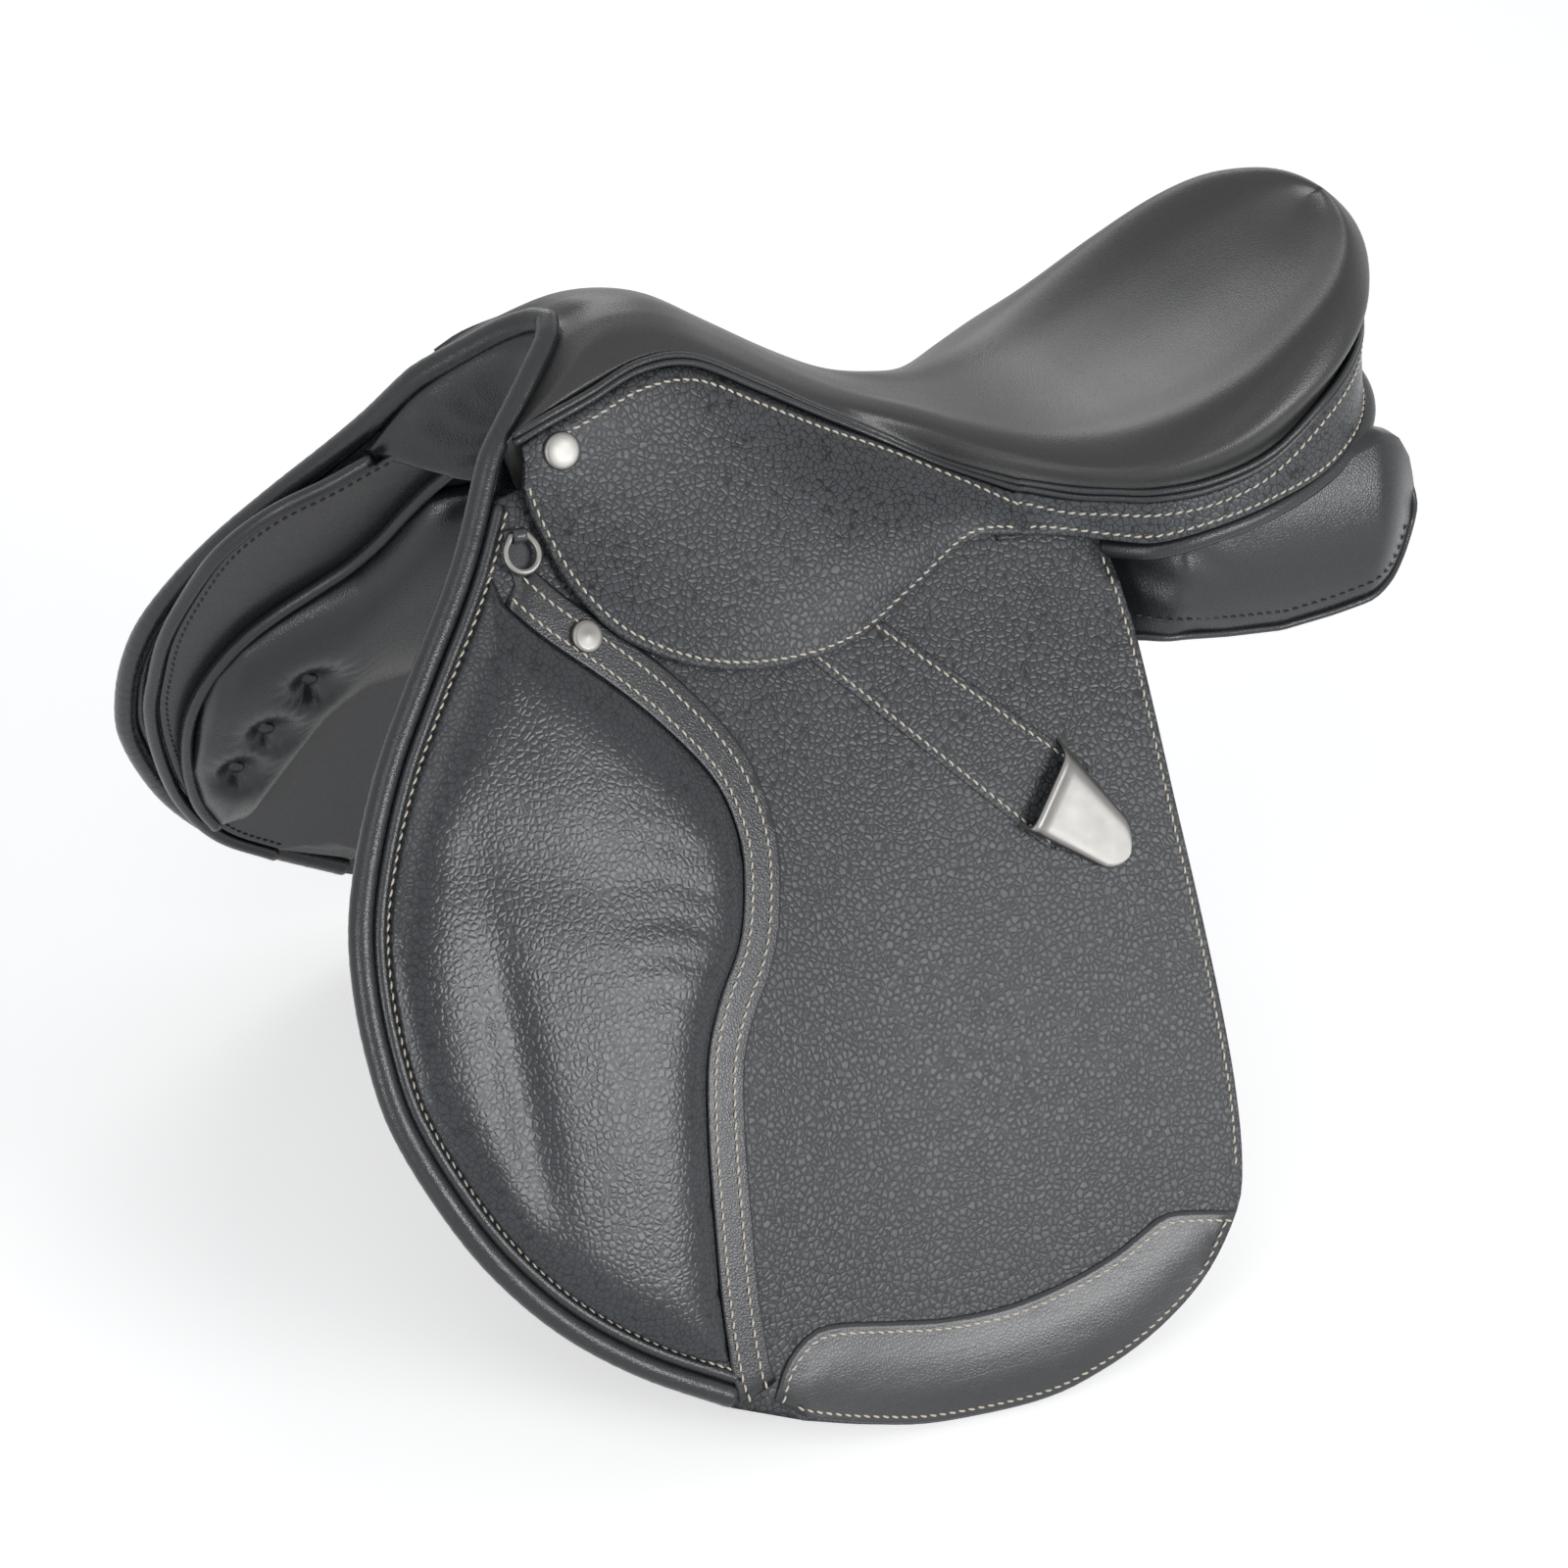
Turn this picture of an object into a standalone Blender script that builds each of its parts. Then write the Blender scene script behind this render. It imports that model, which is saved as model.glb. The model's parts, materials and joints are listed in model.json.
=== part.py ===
"""An English jumping saddle for a pony: tree, seat, panels, flaps, skirts, girth straps and metal fittings.

Lengths are in millimetres. +X runs to the rear, the near (left) side is -Y, and +Z is up.
Heights in the outlines are measured up from the level of the flaps' hems. The origin lies REST_HEIGHT above
that level, on the saddle's middle plane, where the channel sits over the animal's spine.
Side pieces are drawn once with y as a distance from the middle plane, and made for both sides.
"""

import math

import bmesh
import bpy
import numpy as np
from mathutils import Vector
from mathutils.geometry import delaunay_2d_cdt

MM = 0.001
REST_HEIGHT = 300.0
SIDES = {"near": -1.0, "off": 1.0}
MIRRORED = np.array([1.0, -1.0, 1.0])

# The side surface: half widths of the saddle over the outer face of its flaps at three heights.
SPREAD_AT_HEM = 254.0
SPREAD_AT_200 = 163.0
SPREAD_AT_400 = 41.0
WAIST_INSET_TOP = 25.0
WAIST_INSET_HEM = 10.0
WAIST_STARTS_X = -200.0
WAIST_FULL_X = -30.0

# Leather and layers, measured outwards from the flap's outer face.
FLAP_THICKNESS = 4.0
PATCH_THICKNESS = 2.0
SEAM_BAND_THICKNESS = 2.4
KNEE_PAD_CROWN = 9.0
KNEE_PAD_FROM_EDGE = 12.5
KNEE_PAD_HEIGHTS = (40.0, 345.0)
ROLL_END_GAP = 1.2
LAYER_GAP = 0.7
BILLET_THICKNESS = 3.5
BILLET_WIDTH = 25.0
BILLET_LENGTH = 235.0
BILLET_HOLE_RADIUS = 2.0
BILLET_HOLE_PITCH = 20.0
BILLET_HOLES = 8
WEB_THICKNESS = 1.0
FLAP_TO_BILLET = 2.0
BILLET_TO_SWEAT_FLAP = 3.5
SWEAT_FLAP_THICKNESS = 3.0
SKIRT_THICKNESS = 3.0
SEAT_LEATHER = 2.5
TREE_THICKNESS = 7.0
FOAM_UNDER_LEATHER = 1.8
FOAM_SIDE_GAP = 3.0
FOAM_LEAST = 3.0
FOAM_OVER_TREE = 2.5
GULLET_PLATE_THICKNESS = 3.0
GULLET_SCREW_RADIUS = 4.5
GULLET_SCREW_HEAD = 2.5
ROLL_RADIUS = 4.5
SWEAT_ROLL_RADIUS = 3.5
WELT_RADIUS = 1.8

# Metal fittings.
WELT_ROOM = 2.0 * WELT_RADIUS + 2.6
NAIL_HEAD_RADIUS = 8.5
NAIL_HEAD_HEIGHT = 2.2
STUD_RADIUS = 7.5
STUD_HEIGHT = 3.0
KEEPER_MOUTH_WIDTH = 40.0
KEEPER_LENGTH = 48.0
KEEPER_TIP_RADIUS = 12.0
KEEPER_MOUTH_HEIGHT = 11.5
KEEPER_TIP_HEIGHT = 5.0
KEEPER_METAL = 1.5
DEE_WIRE_RADIUS = 1.5
DEE_WIDTH = 15.0
DEE_DROP = 16.0
DEE_TAB_WALL = 1.4
BAR_LENGTH = 68.0
BAR_ROD_HEIGHT = 8.0
BAR_ROD_THICKNESS = 5.0
BAR_GAP = 7.0
BAR_PLATE_THICKNESS = 4.0
BAR_FRONT_X = -106.0
BAR_UNDER_FOLD = 23.0
BAR_OFF_TREE = 2.1
BAR_ARM = 9.0
CATCH_END_GAP = 0.8
BILLET_PIVOT_DROP = 8.0
CATCH_LENGTH = 12.0
FIT_GAP = 0.4

# The fold line on which a flap and its skirt lift: it lies in the skirt's outer face.
FOLD_FRONT = np.array([-184.0, 55.0, 390.0])
FOLD_REAR = np.array([58.0, 62.0, 338.0])

# Seat rows from the pommel round to the middle of the cantle: middle, rim, widest point and welt.
SEAT_ROWS = [
    [(-142, 0, 433), (-150, 17, 429.5), (-164, 33, 418), (-180, 44.5, 408)],
    [(-125, 0, 440), (-130, 16, 438), (-138, 28, 433), (-150, 40.5, 421)],
    [(-100, 0, 436.5), (-101, 15, 434.5), (-103, 24, 431.5), (-108, 31, 427)],
    [(-70, 0, 419), (-70, 14, 417), (-69, 22, 413.5), (-67, 26, 408.5)],
    [(-35, 0, 397.5), (-35, 14, 396), (-35, 21, 393), (-34, 25, 389)],
    [(-5, 0, 382), (-5, 15, 381), (-5, 22, 378), (-4, 25, 372)],
    [(25, 0, 371), (25, 21, 371.5), (25, 31, 367), (25, 33, 357)],
    [(50, 0, 364), (50, 33, 364.5), (50, 46, 359), (50, 48, 350)],
    [(80, 0, 361), (80, 51, 362.5), (80, 69, 356.5), (80, 70, 348.5)],
    [(110, 0, 363), (110, 65, 367), (110, 86, 359), (110, 86.5, 349.5)],
    [(140, 0, 371.5), (140, 75, 378.5), (142, 94, 367), (142, 92.5, 354)],
    [(168, 0, 384), (168, 78, 394), (172, 95, 381), (171, 92, 364)],
    [(192, 0, 399), (193, 75, 411), (202, 88, 397), (199, 84, 381)],
    [(211, 0, 413.5), (214, 65, 425), (224.5, 73, 411), (221, 68, 391)],
    [(224, 0, 427), (229.5, 47, 434.5), (240, 50, 421), (236, 47, 398)],
    [(231.5, 0, 436), (238, 25, 440), (248, 26, 428), (243, 24, 402)],
    [(235, 0, 439), (242, 0, 441), (250, 0, 430), (246, 0, 403)],
]

# Skirt rows: the welt, the fold line's place along X, and the lower edge.
SKIRT_ROWS = [
    [(-184, 44, 406), -184, (-184, 55.5, 389.5)],
    [(-170, 45, 413), -172, (-180, 68, 370)],
    [(-148, 42, 420), -150, (-168, 84, 344)],
    [(-122, 35, 427), -122, (-147, 94, 322)],
    [(-95, 30, 424), -92, (-112, 97.5, 304)],
    [(-62, 27, 405.5), -62, (-73, 95, 296)],
    [(-32, 26, 387.5), -32, (-36, 90, 298.5)],
    [(0, 27, 369), 0, (-4, 81, 313)],
    [(30, 37, 353.5), 30, (30, 71, 328.5)],
    [(58, 54.5, 347.5), 58, (62, 73, 327)],
]
CANTLE_BAND_ROWS = [
    [(59, 55, 347.5), (63, 73.2, 326.8)],
    [(80, 71.5, 347.5), (80, 76, 323.5)],
    [(95, 80, 348), (96, 83.5, 322)],
    [(113, 89, 349), (113, 94, 323)],
    [(140, 94, 352.5), (140, 99, 328.5)],
    [(170, 94, 362), (169, 98, 334.5)],
    [(200, 86.5, 379.5), (201, 90, 341)],
    [(223, 70.5, 390), (226, 75, 349)],
    [(239, 48, 397), (243, 52, 355)],
    [(246, 25, 401), (251, 27, 359)],
    [(249, 0, 402), (253, 0, 361)],
]

# The front roll's centre line from the apex down to the fold.
POMMEL_ROLL = [
    (-151, 0, 434), (-157, 13, 431), (-164, 20, 425), (-172, 27, 417), (-181, 36, 405), (-191, 46, 391),
]

# Outlines as (x, height).
FLAP_FRONT = [
    (-195, 384), (-211, 365), (-226, 349), (-248, 323), (-269, 294), (-285, 264), (-295, 236), (-298, 207),
    (-296, 178), (-291, 156), (-278, 127), (-259, 96), (-232, 66), (-199, 41), (-157, 17),
]
FLAP_HEM = [(-122, 2), (-88, -9), (-53, -17), (-3, -19), (30, -13), (61, -1), (89, 17), (109, 41)]
FLAP_REAR = [(115, 60), (117, 90), (116, 125), (113, 170), (110, 210), (108, 246), (106, 277), (104, 291)]
FLAP_TOP = [
    (101, 300), (80, 306), (58, 319), (36, 330), (0, 331), (-45, 332), (-100, 334), (-130, 342), (-160, 358),
    (-182, 372),
]
SEAM_BAND_LEFT = [
    (-201, 343), (-187, 329), (-160, 307), (-137, 285), (-117, 260), (-110, 237), (-112, 218), (-119, 198),
    (-133, 180), (-144, 159), (-150, 128), (-153, 95), (-155, 61), (-154, 29), (-151, 17),
]
SEAM_BAND_WIDTH = 19.0
WEAR_PATCH_TOP = [
    (-135, 15), (-127, 29), (-113, 38), (-98, 38), (-71, 32), (-44, 27), (-13, 26), (17, 30), (44, 37),
    (68, 47), (82, 47), (108, 42),
]
WEAR_PATCH_HEM = [(87, 18), (60, 1), (29, -11), (-3, -17), (-53, -15), (-88, -7), (-120, 4)]
SWEAT_FLAP_FRONT = [
    (-196, 337), (-222, 318), (-255, 298), (-275, 267), (-285, 229), (-285, 192), (-277, 152), (-258, 105),
    (-236, 75), (-205, 52),
]
SWEAT_FLAP_REST = [
    (-158, 41), (-80, 27), (0, 27), (60, 47), (88, 90), (94, 150), (90, 220), (84, 280), (70, 296), (0, 306),
    (-80, 314), (-150, 320),
]
KEEPER_MOUTH_AT = (44.0, 229.0)
KEEPER_DIRECTION = (0.74, -0.67)
NAIL_AT = (-163.0, 0.5)
STUD_AT = (-167.0, 326.0)
DEE_AT = (-190.0, 366.0)
BILLET_CENTRES = (-60.0, -28.0, 4.0)
BILLET_TOP = 318.0

# Panel rows: x, lower edge, upper edge, crown and how far the rear gusset replaces the flap's line.
PANEL_ROWS = [
    (-264, 172, 198, 8), (-261, 138, 213, 14), (-252, 112, 230, 18), (-240, 92, 243, 20), (-228, 94, 254, 22),
    (-216, 125, 264, 23), (-204, 158, 275, 24), (-192, 174, 293, 24), (-182, 182, 322, 24), (-165, 187, 327, 24),
    (-140, 192, 327, 24), (-105, 200, 323, 25), (-65, 213, 320, 26), (-25, 230, 315, 28), (15, 245, 311, 32),
    (50, 255, 309, 36), (80, 263, 312, 40), (115, 270, 316, 50), (135, 269, 319, 56), (160, 265, 323, 58),
    (190, 262, 331, 58), (216, 266, 341, 54), (236, 271, 345, 46), (250, 277, 338, 36), (260, 286, 326, 24),
    (266, 298, 314, 12),
]
GUSSET_HALF_WIDTH = 94.0
CHANNEL_HALF_WIDTH = 32.0
GUSSET_STARTS_X = 100.0
GUSSET_FULL_X = 132.0
TUFTS = [(-215, 203), (-230, 169), (-240, 141)]
TUFT_DEPTH = 9.0
TUFT_SPREAD = 12.0
TUFT_BUTTON_RADIUS = 5.0
TUFT_BUTTON_HEIGHT = 3.0
TUFT_BUTTON_GAP = 2.7
TUFT_FACING = (0.0, -0.9, -0.43)
PANEL_WELT_RADIUS = 2.0

# Tree sections: x, then y and height of the upper face from the middle to the wing's edge.
TREE_ROWS = [
    (-136, [(0, 417), (20, 412), (30, 398), (38, 371), (45, 340)]),
    (-118, [(0, 418), (18, 414), (27, 402), (36, 371), (44, 338)]),
    (-88, [(0, 408), (16, 405), (24, 395), (33, 366), (41, 336)]),
    (-50, [(0, 388), (15, 386), (23, 378), (32, 355), (42, 330)]),
    (-10, [(0, 366), (15, 364), (24, 358), (33, 343), (40, 326)]),
    (30, [(0, 350), (17, 349), (27, 344), (36, 335), (42, 324)]),
    (70, [(0, 344), (25, 343), (42, 341), (52, 337), (58, 332)]),
    (110, [(0, 346), (30, 345.5), (56, 343), (68, 341), (76, 338)]),
    (150, [(0, 353), (35, 352), (62, 350), (76, 348), (84, 345)]),
    (190, [(0, 371), (30, 371), (52, 371), (66, 370), (74, 368)]),
    (218, [(0, 391), (20, 391), (36, 390), (47, 388), (54, 386)]),
    (233, [(0, 398), (10, 398), (19, 397), (26, 396), (31, 394)]),
]
GULLET_PLATE_X = (-134.0, -106.0)
FACING_FRONT = [
    (-150, 0, 426), (-157, 12, 422), (-166, 20, 414), (-178, 30, 400), (-189, 41, 382), (-198, 51, 364), (-204, 59, 350),
]
FACING_BACK = [
    (-140, 0, 394), (-141, 8, 392), (-143, 14, 385), (-146, 18, 373), (-149, 21, 361), (-152, 23, 350), (-154, 24, 343),
]
FACING_THICKNESS = 5.0


def smooth_step(value):
    value = np.clip(value, 0.0, 1.0)
    return value * value * (3.0 - 2.0 * value)


def spread(x, height):
    """Half width of the saddle over the flap's outer face."""
    curve = (SPREAD_AT_400 - 2.0 * SPREAD_AT_200 + SPREAD_AT_HEM) / (2.0 * 200.0**2)
    slope = (SPREAD_AT_200 - SPREAD_AT_HEM) / 200.0 - curve * 200.0
    full = SPREAD_AT_HEM + slope * height + curve * height**2
    inset = WAIST_INSET_HEM + (WAIST_INSET_TOP - WAIST_INSET_HEM) * np.clip(height / 300.0, 0.0, 1.0)
    return full - inset * smooth_step((x - WAIST_STARTS_X) / (WAIST_FULL_X - WAIST_STARTS_X))


def on_flap(x, height, offset):
    return np.array([x, spread(x, height) + offset, height])


def catmull(points, per_span):
    """A smooth curve through the points, with per_span steps between neighbours."""
    points = np.asarray(points, float)
    made = []
    for span in range(len(points) - 1):
        start, end = points[span], points[span + 1]
        before = points[span - 1] if span > 0 else 2.0 * start - end
        after = points[span + 2] if span + 2 < len(points) else 2.0 * end - start
        for step in range(per_span):
            t = step / per_span
            bend = 2.0 * before - 5.0 * start + 4.0 * end - after
            twist = 3.0 * start - before - 3.0 * end + after
            made.append(0.5 * (2.0 * start + (end - before) * t + bend * t**2 + twist * t**3))
    made.append(points[-1])
    return np.array(made)


def spaced(points, spacing):
    """The smooth curve through the points, sampled about every spacing."""
    line = catmull(points, 12)
    along = np.concatenate([[0.0], np.cumsum(np.linalg.norm(np.diff(line, axis=0), axis=1))])
    steps = max(2, int(round(along[-1] / spacing)))
    at = np.linspace(0.0, along[-1], steps + 1)
    return np.stack([np.interp(at, along, line[:, k]) for k in range(line.shape[1])], axis=1)


def subdivided(corners, spacing):
    """A closed outline of straight sides, with points about every spacing."""
    made = []
    for start, end in zip(corners, corners[1:] + corners[:1]):
        steps = max(1, int(round(math.dist(start, end) / spacing)))
        made += [tuple(np.add(start, np.subtract(end, start) * k / steps)) for k in range(steps)]
    return made


def moved_in(line, distance):
    """A 2-D line moved sideways, to its left as it runs."""
    line = np.asarray(line, float)
    run = np.gradient(line, axis=0)
    run /= np.linalg.norm(run, axis=1)[:, None]
    return line + distance * np.stack([-run[:, 1], run[:, 0]], axis=1)


def edge_distance(points, outline):
    """Distance of each 2-D point from a closed outline."""
    outline = np.asarray(outline, float)
    ends = np.roll(outline, -1, axis=0)
    run = ends - outline
    gaps = points[:, None, :] - outline[None, :, :]
    share = np.clip((gaps * run).sum(2) / (run * run).sum(1), 0.0, 1.0)
    return np.linalg.norm(gaps - share[:, :, None] * run, axis=2).min(1)


def inside(points, outline):
    """Whether each 2-D point lies in a closed outline."""
    outline = np.asarray(outline, float)
    found = np.zeros(len(points), bool)
    for start, end in zip(outline, np.roll(outline, -1, axis=0)):
        crosses = (start[1] > points[:, 1]) != (end[1] > points[:, 1])
        rise = end[1] - start[1] if abs(end[1] - start[1]) > 1e-9 else 1e-9
        at = start[0] + (points[:, 1] - start[1]) * (end[0] - start[0]) / rise
        found ^= crosses & (points[:, 0] < at)
    return found


def material(name, colour, roughness, metallic=0.0):
    found = bpy.data.materials.get(name)
    if found:
        return found
    made = bpy.data.materials.new(name)
    made.use_nodes = True
    shader = made.node_tree.nodes["Principled BSDF"]
    shader.inputs["Base Color"].default_value = (*colour, 1.0)
    shader.inputs["Roughness"].default_value = roughness
    shader.inputs["Metallic"].default_value = metallic
    return made


def seat_leather():
    return material("seat_leather", (0.030, 0.031, 0.032), 0.42)


def grain_leather():
    return material("grain_leather", (0.026, 0.028, 0.031), 0.48)


def soft_leather():
    return material("soft_leather", (0.022, 0.024, 0.027), 0.45)


def strap_leather():
    return material("strap_leather", (0.020, 0.020, 0.021), 0.50)


def steel():
    return material("satin_nickel", (0.66, 0.65, 0.62), 0.28, 1.0)


def tree_polymer():
    return material("tree_polymer", (0.05, 0.05, 0.055), 0.6)


def foam():
    return material("seat_foam", (0.75, 0.70, 0.55), 0.9)


def webbing():
    return material("webbing", (0.30, 0.29, 0.27), 0.8)


def place(point):
    return Vector((point[0] * MM, point[1] * MM, (point[2] - REST_HEIGHT) * MM))


def new_object(name, points, faces, finish, side=1.0, mirrored=False):
    """A mesh object. side -1 turns a piece drawn at +y over to the near side.

    With mirrored, the piece is one half, drawn at y >= 0.
    """
    mesh = bpy.data.meshes.new(name)
    placed = [place((p[0], p[1] * side, p[2])) for p in points]
    mesh.from_pydata(placed, [], [tuple(int(i) for i in face) for face in faces])
    obj = bpy.data.objects.new(name, mesh)
    bpy.context.scene.collection.objects.link(obj)
    if mirrored:
        mirror = obj.modifiers.new("both_halves", "MIRROR")
        mirror.use_axis = (False, True, False)
        mirror.use_clip = True
        mirror.merge_threshold = 0.0001
    tidy = bmesh.new()
    tidy.from_mesh(mesh)
    bmesh.ops.remove_doubles(tidy, verts=tidy.verts, dist=1e-6)
    if not mirrored:
        bmesh.ops.recalc_face_normals(tidy, faces=tidy.faces)
    tidy.to_mesh(mesh)
    tidy.free()
    mesh.materials.append(finish)
    mesh.shade_smooth()
    mesh.set_sharp_from_angle(angle=math.radians(40.0))
    return obj


def ring_loft(name, rings, finish, side=1.0):
    """A closed body through rings of as many points each, with flat ends."""
    count = len(rings[0])
    points = [p for ring in rings for p in ring]
    faces = []
    for row in range(len(rings) - 1):
        for k in range(count):
            a = row * count + k
            b = row * count + (k + 1) % count
            faces.append((a, b, b + count, a + count))
    faces.append(tuple(range(count))[::-1])
    faces.append(tuple((len(rings) - 1) * count + k for k in range(count)))
    return new_object(name, points, faces, finish, side)


def half_shell(name, outer, inner, finish):
    """A shell between two grids of y >= 0 points, closed on the middle plane by its mirror image."""
    rows, columns = outer.shape[:2]
    points = list(outer.reshape(-1, 3)) + list(inner.reshape(-1, 3))
    base = rows * columns
    faces = []
    for r in range(rows - 1):
        for c in range(columns - 1):
            a = r * columns + c
            faces.append((a, a + 1, a + columns + 1, a + columns))
            faces.append((base + a, base + a + columns, base + a + columns + 1, base + a + 1))
    border = [[(r, c), (r + 1, c)] for c in (0, columns - 1) for r in range(rows - 1)]
    border += [[(r, c), (r, c + 1)] for r in (0, rows - 1) for c in range(columns - 1)]
    for (r0, c0), (r1, c1) in border:
        if abs(outer[r0, c0, 1]) < 1e-6 and abs(outer[r1, c1, 1]) < 1e-6:
            continue
        a, b = r0 * columns + c0, r1 * columns + c1
        faces.append((a, b, base + b, base + a))
    made = new_object(name, points, faces, finish, mirrored=True)
    return closed_by_mirror(made)


def closed_by_mirror(obj):
    """Puts the mirror into the mesh, so that the faces of the closed body can be turned outwards."""
    graph = bpy.context.evaluated_depsgraph_get()
    whole = bpy.data.meshes.new_from_object(obj.evaluated_get(graph))
    obj.modifiers.clear()
    body = bmesh.new()
    body.from_mesh(whole)
    bmesh.ops.remove_doubles(body, verts=body.verts, dist=1e-5)
    bmesh.ops.recalc_face_normals(body, faces=body.faces)
    body.to_mesh(whole)
    body.free()
    name = obj.data.name
    old = obj.data
    obj.data = whole
    bpy.data.meshes.remove(old)
    whole.name = name
    return obj


def plate(name, outline, outer, inner, spacing, finish, side=1.0, holes=()):
    """A sheet on the saddle's side: a filled 2-D outline set between two offset functions."""
    outline = np.asarray(outline, float)
    low, high = outline.min(0), outline.max(0)
    grid = []
    for row, z in enumerate(np.arange(low[1] + spacing / 2, high[1], spacing * 0.87)):
        for x in np.arange(low[0] + (row % 2) * spacing / 2, high[0], spacing):
            grid.append((x, z))
    grid = np.array(grid)
    keep = inside(grid, outline)
    grid = grid[keep]
    if len(grid):
        grid = grid[edge_distance(grid, outline) > 0.55 * spacing]
    for hole in holes:
        grid = grid[np.linalg.norm(grid - np.mean(hole, axis=0), axis=1) > 0.4 * spacing]
    flat = [tuple(p) for p in outline]
    loops = [list(range(len(outline)))]
    for hole in holes:
        loops.append(list(range(len(flat), len(flat) + len(hole))))
        flat += [tuple(p) for p in hole]
    flat += [tuple(p) for p in grid]
    edges = [(loop[k], loop[(k + 1) % len(loop)]) for loop in loops for k in range(len(loop))]
    verts, _, faces, _, _, _ = delaunay_2d_cdt([Vector(p) for p in flat], edges, [], 2 if holes else 1, 1e-5)
    flat = np.array([tuple(v) for v in verts])
    away = edge_distance(flat, outline)
    upper = [on_flap(x, z, outer(x, z, d)) for (x, z), d in zip(flat, away)]
    lower = [on_flap(x, z, inner(x, z, d)) for (x, z), d in zip(flat, away)]
    count = len(flat)
    used = {}
    for face in faces:
        for k in range(len(face)):
            a, b = face[k], face[(k + 1) % len(face)]
            used[(a, b)] = used.get((a, b), 0) + 1
    made = [tuple(face) for face in faces] + [tuple(count + i for i in reversed(face)) for face in faces]
    for a, b in used:
        if (b, a) not in used:
            made.append((b, a, count + a, count + b))
    return new_object(name, upper + lower, made, finish, side)


def level(offset):
    return lambda x, z, d: offset


def tube(name, path, radius, finish, sides=8, side=1.0, closed=False):
    """A round tube along a path, as a mesh."""
    path = np.asarray(path, float)
    count = len(path)
    run = np.gradient(path, axis=0)
    if closed:
        run = np.roll(path, -1, axis=0) - np.roll(path, 1, axis=0)
    run /= np.linalg.norm(run, axis=1)[:, None]
    up = np.array([0.13, 0.31, 0.94])
    rings = []
    for k in range(count):
        across = np.cross(run[k], up)
        across /= np.linalg.norm(across)
        up = np.cross(across, run[k])
        rings.append([path[k] + radius * (math.cos(a) * across + math.sin(a) * up)
                      for a in np.arange(sides) * 2.0 * math.pi / sides])
    if not closed:
        return ring_loft(name, rings, finish, side)
    points = [p for ring in rings for p in ring]
    faces = []
    for row in range(count):
        for k in range(sides):
            nxt = ((row + 1) % count) * sides
            faces.append((row * sides + k, row * sides + (k + 1) % sides, nxt + (k + 1) % sides, nxt + k))
    return new_object(name, points, faces, finish, side)


def section_normals(section):
    """Outward normals of a section from the middle plane to the edge, in its own plane of y and height."""
    run = np.gradient(section, axis=0)
    normal = np.stack([np.zeros(len(section)), -run[:, 2], run[:, 1]], axis=1)
    lengths = np.linalg.norm(normal, axis=1)[:, None]
    normal = normal / np.where(lengths < 1e-9, 1.0, lengths)
    return np.where(normal[:, 2:3] < -0.7, -normal, normal)


def seat_grid(rows_per_span, steps_per_span):
    """The seat's outer face as rows from the middle plane out to the welt."""
    rows = np.asarray(SEAT_ROWS, float)
    round_cantle = np.concatenate([rows, rows[-2:-3:-1] * MIRRORED])
    count = (len(rows) - 1) * rows_per_span + 1
    lines = np.stack([catmull(round_cantle[:, k], rows_per_span)[:count] for k in range(4)], axis=1)
    grid = []
    for middle, rim, widest, welt in lines:
        crest = middle + (rim - middle) * 0.55
        crest[2] = middle[2] + (rim[2] - middle[2]) * 0.34
        section = catmull([crest * MIRRORED, middle, crest, rim, widest, welt], steps_per_span)
        grid.append(section[steps_per_span:])
    return np.array(grid)


def grid_normals(grid):
    along = np.gradient(grid, axis=0)
    across = np.gradient(grid, axis=1)
    normal = np.cross(along, across)
    normal /= np.maximum(np.linalg.norm(normal, axis=2), 1e-9)[:, :, None]
    flat = np.abs(grid[:, :, 1]) < 1e-6
    normal[:, :, 1] = np.where(flat, 0.0, normal[:, :, 1])
    normal /= np.maximum(np.linalg.norm(normal, axis=2), 1e-9)[:, :, None]
    return normal


def tree_section(x):
    """The tree's upper face at one x, as points of y and height."""
    places = [row[0] for row in TREE_ROWS]
    made = []
    for k in range(5):
        made.append((np.interp(x, places, [row[1][k][0] for row in TREE_ROWS]),
                     np.interp(x, places, [row[1][k][1] for row in TREE_ROWS])))
    return np.array(made)


def tree_height(x, y):
    section = tree_section(x)
    return float(np.interp(y, section[:, 0], section[:, 1]))


def tree_side(x, height):
    """Half width of the tree over its wings at one height."""
    section = tree_section(x)[::-1]
    return float(np.interp(height, section[:, 1], section[:, 0]))


def make_seat():
    grid = seat_grid(1, 2)
    normal = grid_normals(grid)
    half_shell("seat_cover", grid, grid - SEAT_LEATHER * normal, seat_leather())
    below = grid - (SEAT_LEATHER + FOAM_UNDER_LEATHER) * normal
    floor, top = [], []
    for row in below[1:-2]:
        widest = int(np.argmax(row[:, 1]))
        across = np.linspace(0.0, row[widest, 1] - FOAM_SIDE_GAP, 7)
        xs = np.interp(across, row[: widest + 1, 1], row[: widest + 1, 0])
        heights = np.interp(across, row[: widest + 1, 1], row[: widest + 1, 2])
        lows = [min(tree_height(x, max(0.0, y - 5.0)) + FOAM_OVER_TREE, high - FOAM_LEAST)
                for x, y, high in zip(xs, across, heights)]
        top.append(np.stack([xs, across, heights], axis=1))
        floor.append(np.stack([xs, across, lows], axis=1))
    half_shell("seat_foam", np.array(top), np.array(floor), foam())


def make_tree():
    xs = np.array([row[0] for row in TREE_ROWS], float)
    upper, lower = [], []
    for x in xs:
        section = tree_section(x)
        points = np.stack([np.full(5, x), section[:, 0], section[:, 1]], axis=1)
        normal = section_normals(points)
        normal[0] = (0.0, 0.0, 1.0)
        upper.append(points)
        lower.append(points - TREE_THICKNESS * normal)
    half_shell("tree", np.array(upper), np.array(lower), tree_polymer())


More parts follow.
